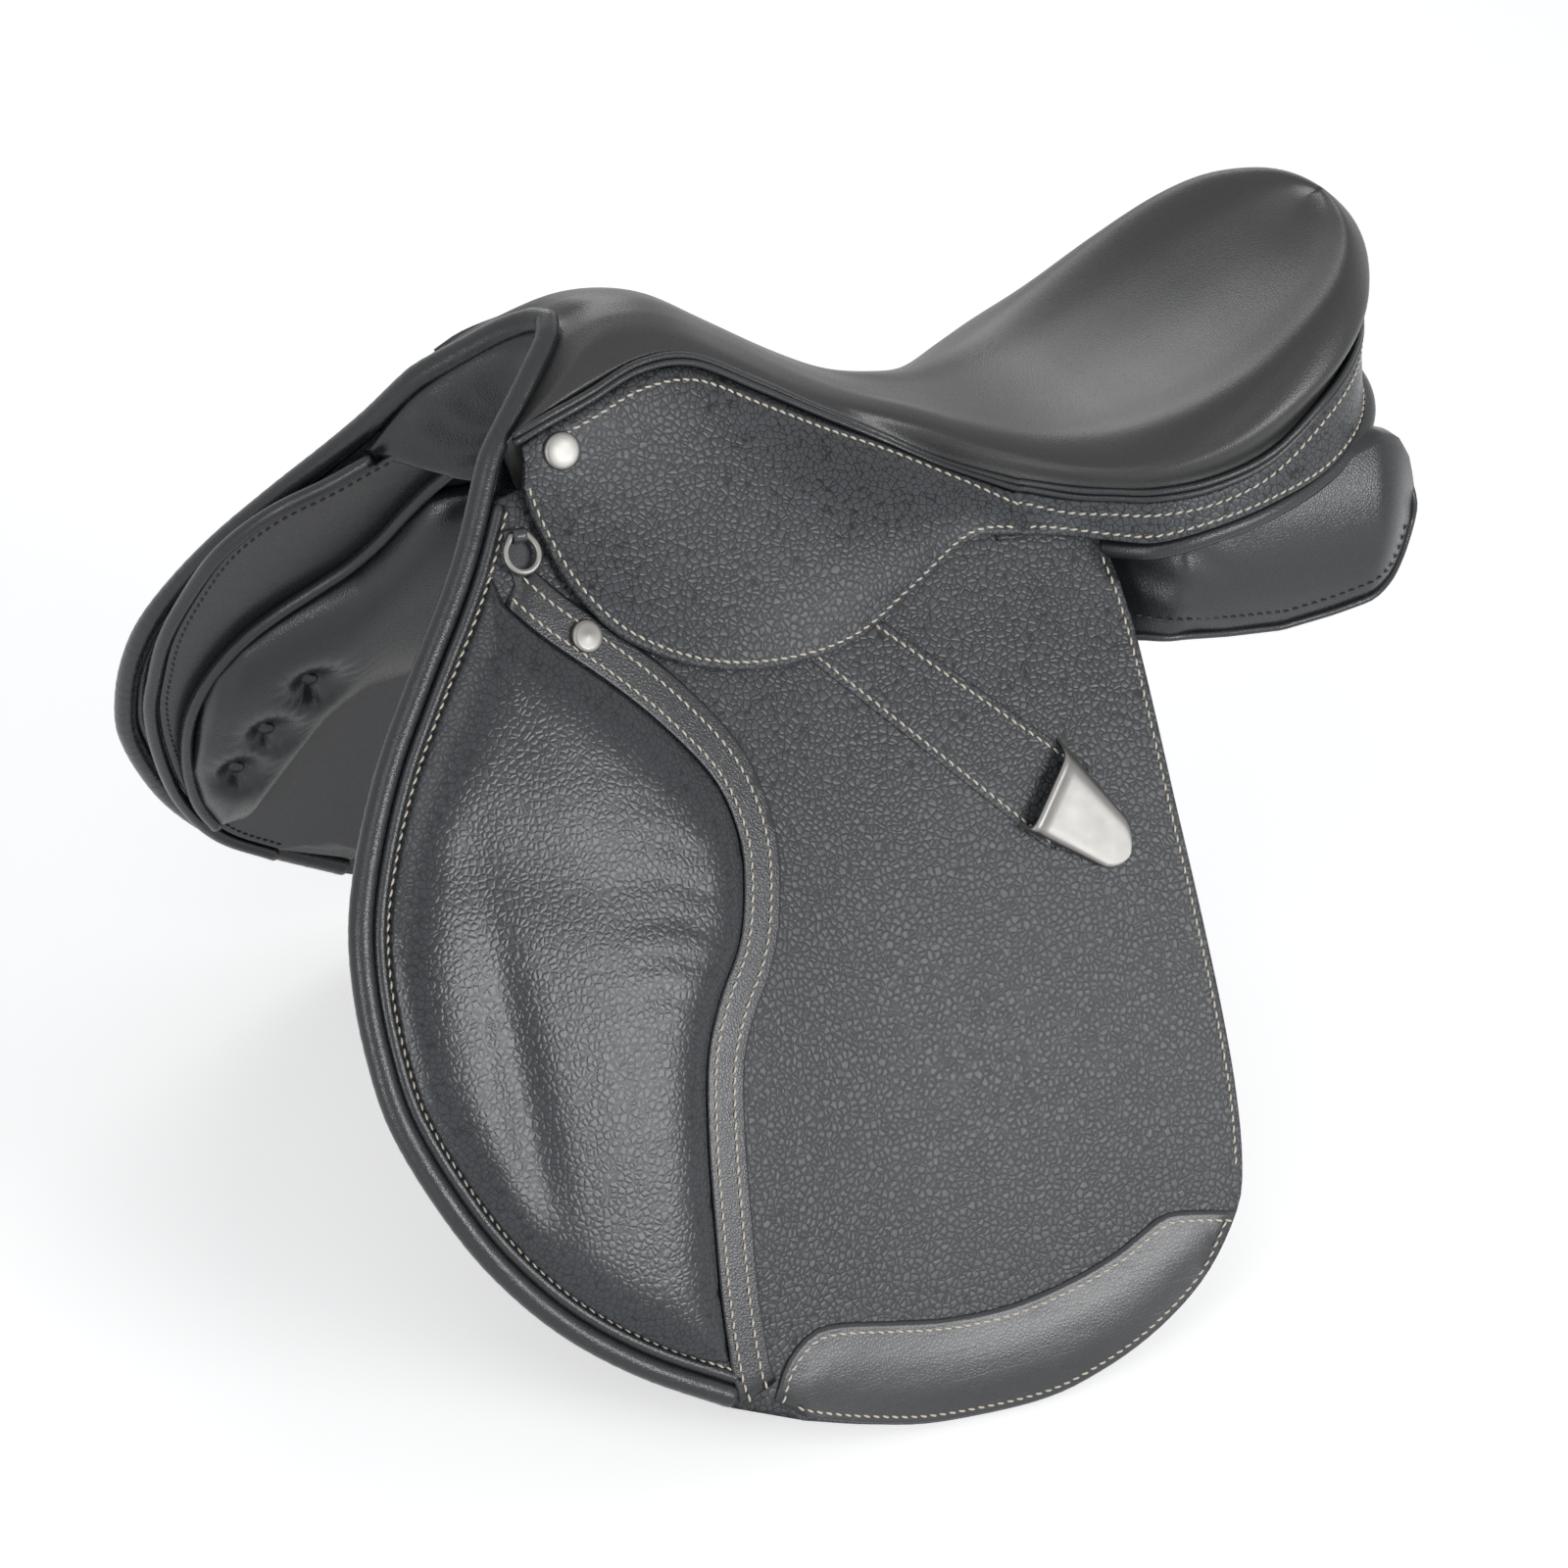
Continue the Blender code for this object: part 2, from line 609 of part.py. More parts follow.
def gullet_plate_section(x, depth):
    section = tree_section(x)
    points = np.stack([np.full(5, x), section[:, 0], section[:, 1]], axis=1)
    normal = section_normals(points)
    normal[0] = (0.0, 0.0, 1.0)
    return points - depth * normal, normal


def make_gullet_plate():
    outer_depth = TREE_THICKNESS + 0.6
    inner_depth = outer_depth + GULLET_PLATE_THICKNESS
    places = np.linspace(GULLET_PLATE_X[0], GULLET_PLATE_X[1], 3)
    outer = np.array([gullet_plate_section(x, outer_depth)[0] for x in places])
    inner = np.array([gullet_plate_section(x, inner_depth)[0] for x in places])
    half_shell("gullet_plate", outer, inner, steel())
    middle_x = sum(GULLET_PLATE_X) / 2.0
    face, normal = gullet_plate_section(middle_x, inner_depth)
    seat = 0.5 * (face[2] + face[3])
    out = -(normal[2] + normal[3])
    out /= np.linalg.norm(out)
    for name, side in SIDES.items():
        points, faces = [], []
        add_disc(points, faces, seat + out * 3.0 * FIT_GAP, out, GULLET_SCREW_RADIUS, GULLET_SCREW_HEAD, 10)
        new_object(f"{name}_gullet_screw", points, faces, steel(), side)


def add_disc(points, faces, centre, axis, radius, height, sides, dome=0.0):
    """A round head with a bevelled or domed top, added to the lists."""
    axis = np.asarray(axis, float) / np.linalg.norm(axis)
    across = np.cross(axis, (0.2, 0.5, 0.84))
    across /= np.linalg.norm(across)
    up = np.cross(axis, across)
    levels = [(1.0, 0.0), (1.0, height * 0.45), (0.82, height)]
    if dome > 0.0:
        levels = [(1.0, 0.0), (0.96, height * 0.4), (0.72, height * 0.8), (0.35, height)]
    start = len(points)
    for share, lift in levels:
        for k in range(sides):
            a = 2.0 * math.pi * k / sides
            points.append(centre + axis * lift + radius * share * (math.cos(a) * across + math.sin(a) * up))
    for row in range(len(levels) - 1):
        for k in range(sides):
            a = start + row * sides + k
            b = start + row * sides + (k + 1) % sides
            faces.append((a, b, b + sides, a + sides))
    faces.append(tuple(start + k for k in range(sides))[::-1])
    faces.append(tuple(start + (len(levels) - 1) * sides + k for k in range(sides)))


def make_gullet_facing():
    front = catmull(FACING_FRONT, 1)
    back = catmull(FACING_BACK, 1)
    columns = 5
    inner = np.zeros((len(front), columns, 3))
    for k in range(columns):
        share = k / (columns - 1)
        inner[:, k] = front * (1.0 - share) + back * share
        bulge = 3.0 * math.sin(math.pi * share)
        inner[:, k, 2] -= bulge
    outward = grid_normals(inner)
    if outward[0, 2, 2] < 0:
        outward = -outward
    half_shell("gullet_facing", inner + FACING_THICKNESS * outward, inner, soft_leather())


def mirrored_path(half):
    """A path drawn from the middle plane outwards, run on through its mirror image."""
    half = np.asarray(half, float)
    other = half[1:].copy()
    other[:, 1] *= -1.0
    return np.vstack([half[::-1], other])


def make_centre_rolls():
    half = spaced(POMMEL_ROLL, 7.0)
    tube("pommel_roll", mirrored_path(half), ROLL_RADIUS, soft_leather())
    path = []
    for top, below in [(row[0], fold_point(row[1])) for row in SKIRT_ROWS] + CANTLE_BAND_ROWS:
        run = np.subtract(below, top)
        path.append(np.asarray(top, float) + run / np.linalg.norm(run) * (WELT_RADIUS + 4.0 * FIT_GAP))
    path = spaced(path[::-1], 14.0)
    path[0, 1] = 0.0
    tube("seat_welt", mirrored_path(path), WELT_RADIUS, soft_leather(), sides=6)


def skirt_curve(top, fold, bottom, share):
    """The smooth section through welt, fold and lower edge; share is 0 to 1 above the fold, 1 to 2 below."""
    upper = np.linalg.norm(fold - top)
    lower = np.linalg.norm(bottom - fold)
    middle = upper / (upper + lower)
    t = middle * share if share <= 1.0 else middle + (1.0 - middle) * (share - 1.0)
    a = (t - middle) * (t - 1.0) / (middle * 1.0)
    b = t * (t - 1.0) / (middle * (middle - 1.0))
    c = t * (t - middle) / (1.0 - middle)
    return a * top + b * fold + c * bottom


def fold_point(x):
    share = (x - FOLD_FRONT[0]) / (FOLD_REAR[0] - FOLD_FRONT[0])
    return FOLD_FRONT + (FOLD_REAR - FOLD_FRONT) * share


def skirt_rows(per_span):
    top = catmull([row[0] for row in SKIRT_ROWS], per_span)
    fold_x = catmull([(row[1], 0.0) for row in SKIRT_ROWS], per_span)[:, 0]
    bottom = catmull([row[2] for row in SKIRT_ROWS], per_span)
    return top, np.array([fold_point(x) for x in fold_x]), bottom


def sheet_rings(outer, thickness):
    """Rings round a sheet given by rows of outer points, with the inner face set towards the middle plane."""
    outer = np.asarray(outer, float)
    across = np.gradient(outer, axis=1)
    along = np.gradient(outer, axis=0)
    normal = np.cross(along, across)
    normal /= np.maximum(np.linalg.norm(normal, axis=2), 1e-9)[:, :, None]
    away = outer.copy()
    away[:, :, 0] -= np.clip(outer[:, :, 0], -150.0, 190.0)
    away[:, :, 2] = 60.0
    normal[(normal * away).sum(2) < 0] *= -1.0
    inner = outer - thickness * normal
    return [list(row) + list(back[::-1]) for row, back in zip(outer, inner)]


def make_skirts():
    top, fold, bottom = skirt_rows(2)
    tongue = []
    for t, f, b in zip(top[1:], fold[1:], bottom[1:]):
        start = 1.0 + 1.0 / max(20.0, np.linalg.norm(b - f))
        tongue.append([skirt_curve(t, f, b, s) for s in np.linspace(start, 2.0, 5)])
    upper = []
    for t, f, b in zip(top, fold, bottom):
        length = np.linalg.norm(f - t)
        stop = 1.0 - 0.6 / length
        start = min(0.6, WELT_ROOM / length)
        b = b if np.linalg.norm(b - f) > 12.0 else f + (f - t) * 0.7
        upper.append([skirt_curve(t, f, b, s) for s in np.linspace(start, stop, 4)])
    band = []
    band_top = catmull([row[0] for row in CANTLE_BAND_ROWS], 2)
    band_bottom = catmull([row[1] for row in CANTLE_BAND_ROWS], 2)
    for t, b in zip(band_top, band_bottom):
        start = WELT_ROOM / np.linalg.norm(b - t)
        band.append([t + (b - t) * s for s in np.linspace(start, 1.0, 4)])
    band += [[p * (1.0, -1.0, 1.0) for p in row] for row in band[-2::-1]]
    ring_loft("cantle_band", sheet_rings(band, SKIRT_THICKNESS), grain_leather())
    for name, side in SIDES.items():
        ring_loft(f"{name}_skirt", sheet_rings(tongue, SKIRT_THICKNESS), grain_leather(), side)
        ring_loft(f"{name}_skirt_top", sheet_rings(upper, SKIRT_THICKNESS), grain_leather(), side)


def make_flaps():
    line = spaced(FLAP_FRONT, 12.0)
    front = moved_in(line, 2.0 * ROLL_RADIUS + 0.9)
    past_end = (line[-1] - line[-2]) / np.linalg.norm(line[-1] - line[-2]) * ROLL_END_GAP
    corner = [front[-1] + past_end, line[-1] + past_end]
    hem = spaced(FLAP_HEM + FLAP_REAR, 14.0)
    outline = np.vstack([front, corner, hem, spaced(FLAP_TOP, 16.0)])
    roll = [on_flap(x, z, -0.5 * FLAP_THICKNESS) for x, z in moved_in(line, ROLL_RADIUS)]
    left = spaced(SEAM_BAND_LEFT, 16.0)
    right = moved_in(left, SEAM_BAND_WIDTH)
    band = np.vstack([left, right[::-1]])
    pad_front = moved_in(line, KNEE_PAD_FROM_EDGE)
    low, high = KNEE_PAD_HEIGHTS
    pad_front = pad_front[(pad_front[:, 1] > low) & (pad_front[:, 1] < high)]
    pad_back = moved_in(left, -2.0 * FIT_GAP)[::-1]
    pad_back = pad_back[(pad_back[:, 1] > low) & (pad_back[:, 1] < high - 12.0)]
    pad = np.vstack([pad_front, pad_back])
    patch = np.vstack([spaced(WEAR_PATCH_TOP, 14.0), spaced(WEAR_PATCH_HEM, 14.0)])

    def crown(x, z, d):
        rise = min(d / 26.0, 1.0)
        return LAYER_GAP + 1.2 + (KNEE_PAD_CROWN - 1.2) * math.sqrt(1.0 - (1.0 - rise) ** 2)

    for name, side in SIDES.items():
        plate(f"{name}_flap", outline, level(0.0), level(-FLAP_THICKNESS), 34.0, grain_leather(), side)
        tube(f"{name}_flap_roll", roll, ROLL_RADIUS, soft_leather(), sides=8, side=side)
        plate(f"{name}_knee_pad", pad, crown, level(LAYER_GAP), 17.0, soft_leather(), side)
        plate(f"{name}_seam_band", band, level(LAYER_GAP + SEAM_BAND_THICKNESS), level(LAYER_GAP), 30.0,
              grain_leather(), side)
        plate(f"{name}_wear_patch", patch, level(LAYER_GAP + PATCH_THICKNESS), level(LAYER_GAP), 30.0,
              strap_leather(), side)


OUTER_BILLET = -(FLAP_THICKNESS + FLAP_TO_BILLET)
WEB_FACE = OUTER_BILLET - BILLET_THICKNESS - LAYER_GAP
INNER_BILLET = WEB_FACE - WEB_THICKNESS - LAYER_GAP
SWEAT_FACE = INNER_BILLET - BILLET_THICKNESS - BILLET_TO_SWEAT_FLAP
PANEL_FACE = SWEAT_FACE - SWEAT_FLAP_THICKNESS - 1.6


def make_sweat_flaps():
    front = moved_in(spaced(SWEAT_FLAP_FRONT, 14.0), 2.0 * SWEAT_ROLL_RADIUS + 0.8)
    outline = np.vstack([front, spaced(SWEAT_FLAP_REST, 18.0)])
    line = moved_in(spaced(SWEAT_FLAP_FRONT, 14.0), SWEAT_ROLL_RADIUS)
    middle = SWEAT_FACE - 0.5 * SWEAT_FLAP_THICKNESS
    roll = [on_flap(x, z, middle) for x, z in line]
    for name, side in SIDES.items():
        inner = level(SWEAT_FACE - SWEAT_FLAP_THICKNESS)
        plate(f"{name}_sweat_flap", outline, level(SWEAT_FACE), inner, 45.0, strap_leather(), side)
        tube(f"{name}_sweat_flap_roll", roll, SWEAT_ROLL_RADIUS, soft_leather(), sides=8, side=side)


def panel_outer(x, height):
    """The panel's outer face: against the sweat flap in front, an upright gusset at the rear."""
    gusset = GUSSET_HALF_WIDTH - 9.0 * ((height - 300.0) / 38.0) ** 2
    rear_pull = 1.0 - 0.42 * smooth_step((x - 232.0) / 58.0)
    share = smooth_step((x - GUSSET_STARTS_X) / (GUSSET_FULL_X - GUSSET_STARTS_X))
    return (spread(x, height) + PANEL_FACE) * (1.0 - share) + gusset * rear_pull * share


def panel_size(x):
    """The panel's lower edge, upper edge and padding depth at one x."""
    rows = np.array(PANEL_ROWS, float)
    return [np.interp(x, rows[:, 0], rows[:, k]) for k in (1, 2, 3)]


def panel_inner(x, height):
    """Half width at the panel's padded inner face, drawn in at the tufts."""
    low, high, crown = panel_size(x)
    swell = math.sqrt(max(0.0, 1.0 - abs(2.0 * (height - low) / (high - low) - 1.0) ** 3))
    depth = crown
    for tuft_x, tuft_z in TUFTS:
        away = math.hypot(x - tuft_x, height - tuft_z)
        depth -= TUFT_DEPTH * math.exp(-((away / TUFT_SPREAD) ** 2))
    outer = panel_outer(x, height)
    return max(outer - depth * swell, min(CHANNEL_HALF_WIDTH, outer - 2.0))


def panel_ring(x, outer_steps, inner_steps):
    """One closed section of a panel: up the outer face and down the padded inner face."""
    low, high, _ = panel_size(x)
    outer = [(x, panel_outer(x, z), z) for z in np.linspace(low, high, outer_steps + 1)]
    shares = np.linspace(-1.0, 1.0, inner_steps + 1)[-2:0:-1]
    shares = shares * (1.25 - 0.25 * shares**2)
    inner = [(x, panel_inner(x, z), z) for z in low + (high - low) * (0.5 + 0.5 * shares)]
    return outer + inner


def make_panels():
    first, last = PANEL_ROWS[0][0], PANEL_ROWS[-1][0]
    places = np.concatenate([
        [first], np.arange(first + 4.0, -196.0, 6.5), np.arange(-194.0, 230.0, 16.0), np.linspace(232.0, last, 6),
    ])
    rings = [panel_ring(x, 4, 14) for x in places]
    edge = np.array([(x, panel_size(x)[0]) for x in np.arange(GUSSET_STARTS_X + 12.0, last, 10.0)])
    seam = [(x, panel_outer(x, z), z) for x, z in moved_in(edge, -PANEL_WELT_RADIUS - 3.0 * FIT_GAP)]
    for name, side in SIDES.items():
        ring_loft(f"{name}_panel", rings, soft_leather(), side)
        tube(f"{name}_panel_welt", seam, PANEL_WELT_RADIUS, soft_leather(), sides=6, side=side)
        for order, (x, z) in enumerate(TUFTS):
            points, faces = [], []
            add_disc(points, faces, np.array([x, panel_inner(x, z), z]), TUFT_FACING, TUFT_BUTTON_RADIUS,
                     TUFT_BUTTON_HEIGHT, 8, dome=1.0)
            clash = max(point[1] - panel_inner(point[0], point[2]) for point in points)
            points = [point - (0.0, clash + TUFT_BUTTON_GAP, 0.0) for point in points]
            new_object(f"{name}_panel_button_{order + 1}", points, faces, soft_leather(), side)


def make_billets():
    half = BILLET_WIDTH / 2.0
    slant = math.hypot(1.0, float(spread(0.0, 200.0) - spread(0.0, 201.0)))
    low = BILLET_TOP - BILLET_LENGTH / slant
    for order, centre in enumerate(BILLET_CENTRES):
        face = OUTER_BILLET if order == 1 else INNER_BILLET
        outline = [(centre - half, BILLET_TOP)]
        outline += [(centre - half, z) for z in np.linspace(BILLET_TOP, low + 16.0, 8)[1:]]
        outline += [(centre - half * 0.5, low + 3.0), (centre, low), (centre + half * 0.5, low + 3.0)]
        outline += [(centre + half, z) for z in np.linspace(low + 16.0, BILLET_TOP, 8)]
        holes = []
        for k in range(BILLET_HOLES):
            z = low + 24.0 + k * BILLET_HOLE_PITCH / slant
            holes.append([(centre + BILLET_HOLE_RADIUS * math.cos(a), z + BILLET_HOLE_RADIUS * math.sin(a))
                          for a in np.arange(6) * math.pi / 3.0])
        for name, side in SIDES.items():
            plate(f"{name}_billet_{order + 1}", outline, level(face), level(face - BILLET_THICKNESS), 60.0,
                  strap_leather(), side, holes=holes)
    left, right = BILLET_CENTRES[0] - half, BILLET_CENTRES[2] + half
    web = subdivided([(left, 290.0), (right, 290.0), (right, 322.0), (left, 326.0)], 10.0)
    for name, side in SIDES.items():
        inner = level(WEB_FACE - WEB_THICKNESS)
        plate(f"{name}_girth_web", web, level(WEB_FACE), inner, 12.0, webbing(), side)


def flap_normal(x, height):
    """Outward normal of the flap's face."""
    step = 1.0
    along = on_flap(x + step, height, 0.0) - on_flap(x - step, height, 0.0)
    upward = on_flap(x, height + step, 0.0) - on_flap(x, height - step, 0.0)
    normal = np.cross(upward, along)
    return normal / np.linalg.norm(normal) * (1.0 if normal[1] > 0 else -1.0)


def make_keepers():
    """A flat wedge-shaped metal slot, open towards the skirt, that holds the end of the stirrup leather."""
    run = np.array(KEEPER_DIRECTION) / np.hypot(*KEEPER_DIRECTION)
    cross = np.array([-run[1], run[0]])
    half = KEEPER_MOUTH_WIDTH / 2.0
    straight = KEEPER_LENGTH - KEEPER_TIP_RADIUS

    def half_width(s):
        if s <= straight:
            return half + (KEEPER_TIP_RADIUS + 1.0 - half) * s / straight
        past = (s - straight) / KEEPER_TIP_RADIUS
        return (KEEPER_TIP_RADIUS + 1.0) * math.sqrt(max(0.0, 1.0 - past**2))

    def height_at(s):
        return KEEPER_MOUTH_HEIGHT + (KEEPER_TIP_HEIGHT - KEEPER_MOUTH_HEIGHT) * s / KEEPER_LENGTH

    def world(s, t, lift):
        x, z = np.array(KEEPER_MOUTH_AT) + run * s + cross * t
        return on_flap(x, z, LAYER_GAP + lift)

    hollow_end = straight - 4.0
    rings = []
    for s in (0.0, hollow_end * 0.5, hollow_end):
        w, h = half_width(s), height_at(s)
        m = KEEPER_METAL
        loop = [(-w, 0.0), (-w, h * 0.55), (-w + 2.5, h), (w - 2.5, h), (w, h * 0.55), (w, 0.0)]
        hole = [(-w + 1.5 * m, m), (-w + 1.5 * m, h * 0.5), (-w + 3.4, h - m), (w - 3.4, h - m),
                (w - 1.5 * m, h * 0.5), (w - 1.5 * m, m)]
        rings.append(([world(s, t, lift) for t, lift in loop], [world(s, t, lift) for t, lift in hole]))
    tail = []
    for s in (KEEPER_LENGTH - 6.0, KEEPER_LENGTH - 1.5):
        w, h = half_width(s), height_at(s)
        tail.append([world(s, t, lift) for t, lift in
                     [(-w, 0.0), (-w, h * 0.55), (-w * 0.8, h), (w * 0.8, h), (w, h * 0.55), (w, 0.0)]])
    outer_rows = [ring[0] for ring in rings] + tail
    inner_rows = [ring[1] for ring in rings]
    points = [p for row in outer_rows for p in row] + [p for row in inner_rows for p in row]
    base = len(outer_rows) * 6
    faces = []
    for r in range(len(outer_rows) - 1):
        for k in range(6):
            a, b = r * 6 + k, r * 6 + (k + 1) % 6
            faces.append((a, b, b + 6, a + 6))
    for r in range(len(inner_rows) - 1):
        for k in range(6):
            a, b = base + r * 6 + k, base + r * 6 + (k + 1) % 6
            faces.append((a, a + 6, b + 6, b))
    for k in range(6):
        faces.append((k, base + k, base + (k + 1) % 6, (k + 1) % 6))
    faces.append(tuple((len(outer_rows) - 1) * 6 + k for k in range(6)))
    faces.append(tuple(base + (len(inner_rows) - 1) * 6 + k for k in range(6))[::-1])
    for name, side in SIDES.items():
        new_object(f"{name}_keeper", points, faces, steel(), side)


def make_studs():
    top, fold, bottom = skirt_rows(2)
    x_nail, share = NAIL_AT
    row = int(np.argmin(np.abs(top[:, 0] - x_nail)))
    here = skirt_curve(top[row], fold[row], bottom[row], share)
    lower = skirt_curve(top[row], fold[row], bottom[row], share + 0.1)
    ahead = skirt_curve(top[row + 1], fold[row + 1], bottom[row + 1], share)
    out = np.cross(lower - here, ahead - here)
    out /= np.linalg.norm(out)
    if out[2] < 0:
        out = -out
    nail = here + out * 1.6
    stud_normal = flap_normal(*STUD_AT)
    stud = on_flap(STUD_AT[0], STUD_AT[1], LAYER_GAP + SEAM_BAND_THICKNESS + 0.8)
    for name, side in SIDES.items():
        points, faces = [], []
        add_disc(points, faces, nail, out, NAIL_HEAD_RADIUS, NAIL_HEAD_HEIGHT, 16)
        new_object(f"{name}_skirt_nail", points, faces, steel(), side)
        points, faces = [], []
        add_disc(points, faces, stud, stud_normal, STUD_RADIUS, STUD_HEIGHT, 16, dome=1.0)
        new_object(f"{name}_flap_stud", points, faces, steel(), side)


def upright_normal(x, height):
    """The flap's outward normal in the plane across the saddle."""
    out = flap_normal(x, height)
    out[0] = 0.0
    return out / np.linalg.norm(out)


def dee_axis_point():
    x, z = DEE_AT
    stand_off = DEE_WIRE_RADIUS + FIT_GAP + DEE_TAB_WALL + 3.0 * FIT_GAP
    return on_flap(x, z, 0.0) + upright_normal(x, z) * stand_off


def make_dees():
    """A dee ring hanging in a folded leather tab on the flap's front corner."""
    out = upright_normal(*DEE_AT)
    across = np.array([1.0, 0.0, 0.0])
    down = np.array([0.0, out[2], -out[1]])
    hole = DEE_WIRE_RADIUS + FIT_GAP
    wall = DEE_TAB_WALL
    centre = dee_axis_point()
    half = DEE_WIDTH / 2.0
    path = [centre + across * half * t for t in np.linspace(-0.5, 0.5, 3)]
    for angle in np.radians(np.linspace(35.0, -215.0, 13)):
        low = 0.5 * (1.0 - math.sin(angle))
        path.append(centre + across * half * math.cos(angle) + down * DEE_DROP * low)
    turn = np.radians(np.linspace(-140.0, 110.0, 9))
    profile = [(hole + wall, a) for a in turn] + [(hole, a) for a in turn[::-1]]
    rings = []
    for t in np.linspace(-0.4, 0.4, 3):
        middle = centre + across * half * t
        rings.append([middle + r * (math.cos(a) * out - math.sin(a) * down) for r, a in profile])
    for name, side in SIDES.items():
        tube(f"{name}_dee_ring", path, DEE_WIRE_RADIUS, steel(), sides=8, side=side, closed=True)
        ring_loft(f"{name}_dee_tab", rings, strap_leather(), side)


def bar_height():
    """Height of the bar's middle, under the fold line."""
    return fold_point(BAR_FRONT_X + 0.5 * BAR_LENGTH)[2] - BAR_UNDER_FOLD


def bar_levels():
    """Distances from the middle plane of the plate's inner and outer faces and the rod's."""
    foot = bar_height() - 0.5 * BAR_ROD_HEIGHT
    plate_in = tree_side(BAR_FRONT_X - BAR_ARM, foot) + BAR_OFF_TREE
    plate_out = plate_in + BAR_PLATE_THICKNESS
    rod_in = plate_out + BAR_GAP
    return plate_in, plate_out, rod_in, rod_in + BAR_ROD_THICKNESS


def catch_axis_point():
    """Top inner corner of the rod's free end, round which the catch turns to close the bar."""
    return np.array([BAR_FRONT_X + BAR_LENGTH + CATCH_END_GAP, bar_levels()[2] + 0.3, bar_height()])


def make_stirrup_bars():
    """A forged bar beside the tree, open to the rear, with a small hinged catch at its open end."""
    plate_in, plate_out, rod_in, rod_out = bar_levels()
    front_x = BAR_FRONT_X
    rear_x = front_x + BAR_LENGTH
    plan = [
        (front_x - BAR_ARM, plate_in), (rear_x, plate_in), (rear_x, plate_out), (front_x, plate_out),
        (front_x, rod_in), (rear_x, rod_in), (rear_x, rod_out), (front_x - BAR_ARM + 2.0, rod_out),
        (front_x - BAR_ARM, rod_out - 3.0),
    ]
    low = bar_height() - 0.5 * BAR_ROD_HEIGHT
    high = low + BAR_ROD_HEIGHT
    pin_x, inner_y = catch_axis_point()[:2]
    outer_y = rod_out - 0.3
    body = [(pin_x, inner_y), (pin_x + CATCH_LENGTH, inner_y + 0.6), (pin_x + CATCH_LENGTH, outer_y - 0.6),
            (pin_x, outer_y)]
    for name, side in SIDES.items():
        bar = [[(x, y, z) for x, y in plan] for z in (low, high)]
        catch = [[(x, y, z) for x, y in body] for z in (low + 0.5, high - 0.5)]
        ring_loft(f"{name}_stirrup_bar", bar, steel(), side)
        ring_loft(f"{name}_bar_catch", catch, steel(), side)


def billet_axis_point(order):
    face = OUTER_BILLET if order == 1 else INNER_BILLET
    height = BILLET_TOP - BILLET_PIVOT_DROP
    return on_flap(BILLET_CENTRES[order], height, face - 0.5 * BILLET_THICKNESS)


def hinge(name, at, side, parent=None):
    """An empty on a joint's axis, which carries the pieces that move on it."""
    empty = bpy.data.objects.new(name, None)
    empty.empty_display_size = 0.02
    bpy.context.scene.collection.objects.link(empty)
    empty.location = place((at[0], at[1] * side, at[2]))
    if parent:
        empty.parent = parent
        empty.location -= parent.location
    return empty


def carry(name, empty):
    """Parents a piece to a hinge without moving it: its mesh is already drawn in place."""
    piece = bpy.data.objects[name]
    piece.parent = empty
    above = empty
    while above:
        piece.location -= above.location
        above = above.parent


def make_hinges():
    fold_middle = 0.5 * (FOLD_FRONT + FOLD_REAR)
    on_the_flap = ("flap", "flap_roll", "knee_pad", "seam_band", "wear_patch", "flap_stud", "keeper", "dee_tab")
    for name, side in SIDES.items():
        flap = hinge(f"{name}_flap_hinge", fold_middle, side)
        for piece in on_the_flap:
            carry(f"{name}_{piece}", flap)
        carry(f"{name}_skirt", hinge(f"{name}_skirt_hinge", fold_middle, side, flap))
        carry(f"{name}_dee_ring", hinge(f"{name}_dee_hinge", dee_axis_point(), side, flap))
        carry(f"{name}_bar_catch", hinge(f"{name}_catch_hinge", catch_axis_point(), side))
        for order in range(len(BILLET_CENTRES)):
            billet = hinge(f"{name}_billet_hinge_{order + 1}", billet_axis_point(order), side)
            carry(f"{name}_billet_{order + 1}", billet)


def main():
    for obj in list(bpy.data.objects):
        bpy.data.objects.remove(obj)
    make_seat()
    make_tree()
    make_gullet_plate()
    make_gullet_facing()
    make_centre_rolls()
    make_skirts()
    make_flaps()
    make_sweat_flaps()
    make_panels()
    make_billets()
    make_keepers()
    make_studs()
    make_dees()
    make_stirrup_bars()
    make_hinges()


main()
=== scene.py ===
"""The looks of the pony saddle: leather, stitching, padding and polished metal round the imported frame.

Lengths are in millimetres until place() turns them into metres. +X runs to the rear and the near side is -Y.
Heights are measured up from the level of the flaps' hems, REST_HEIGHT below the frame's origin.
Side pieces are drawn once with y as a distance from the middle plane, and made for both sides.
"""

import json
import math

import bmesh
import bpy
import numpy as np
from mathutils import Matrix, Vector
from mathutils.geometry import delaunay_2d_cdt

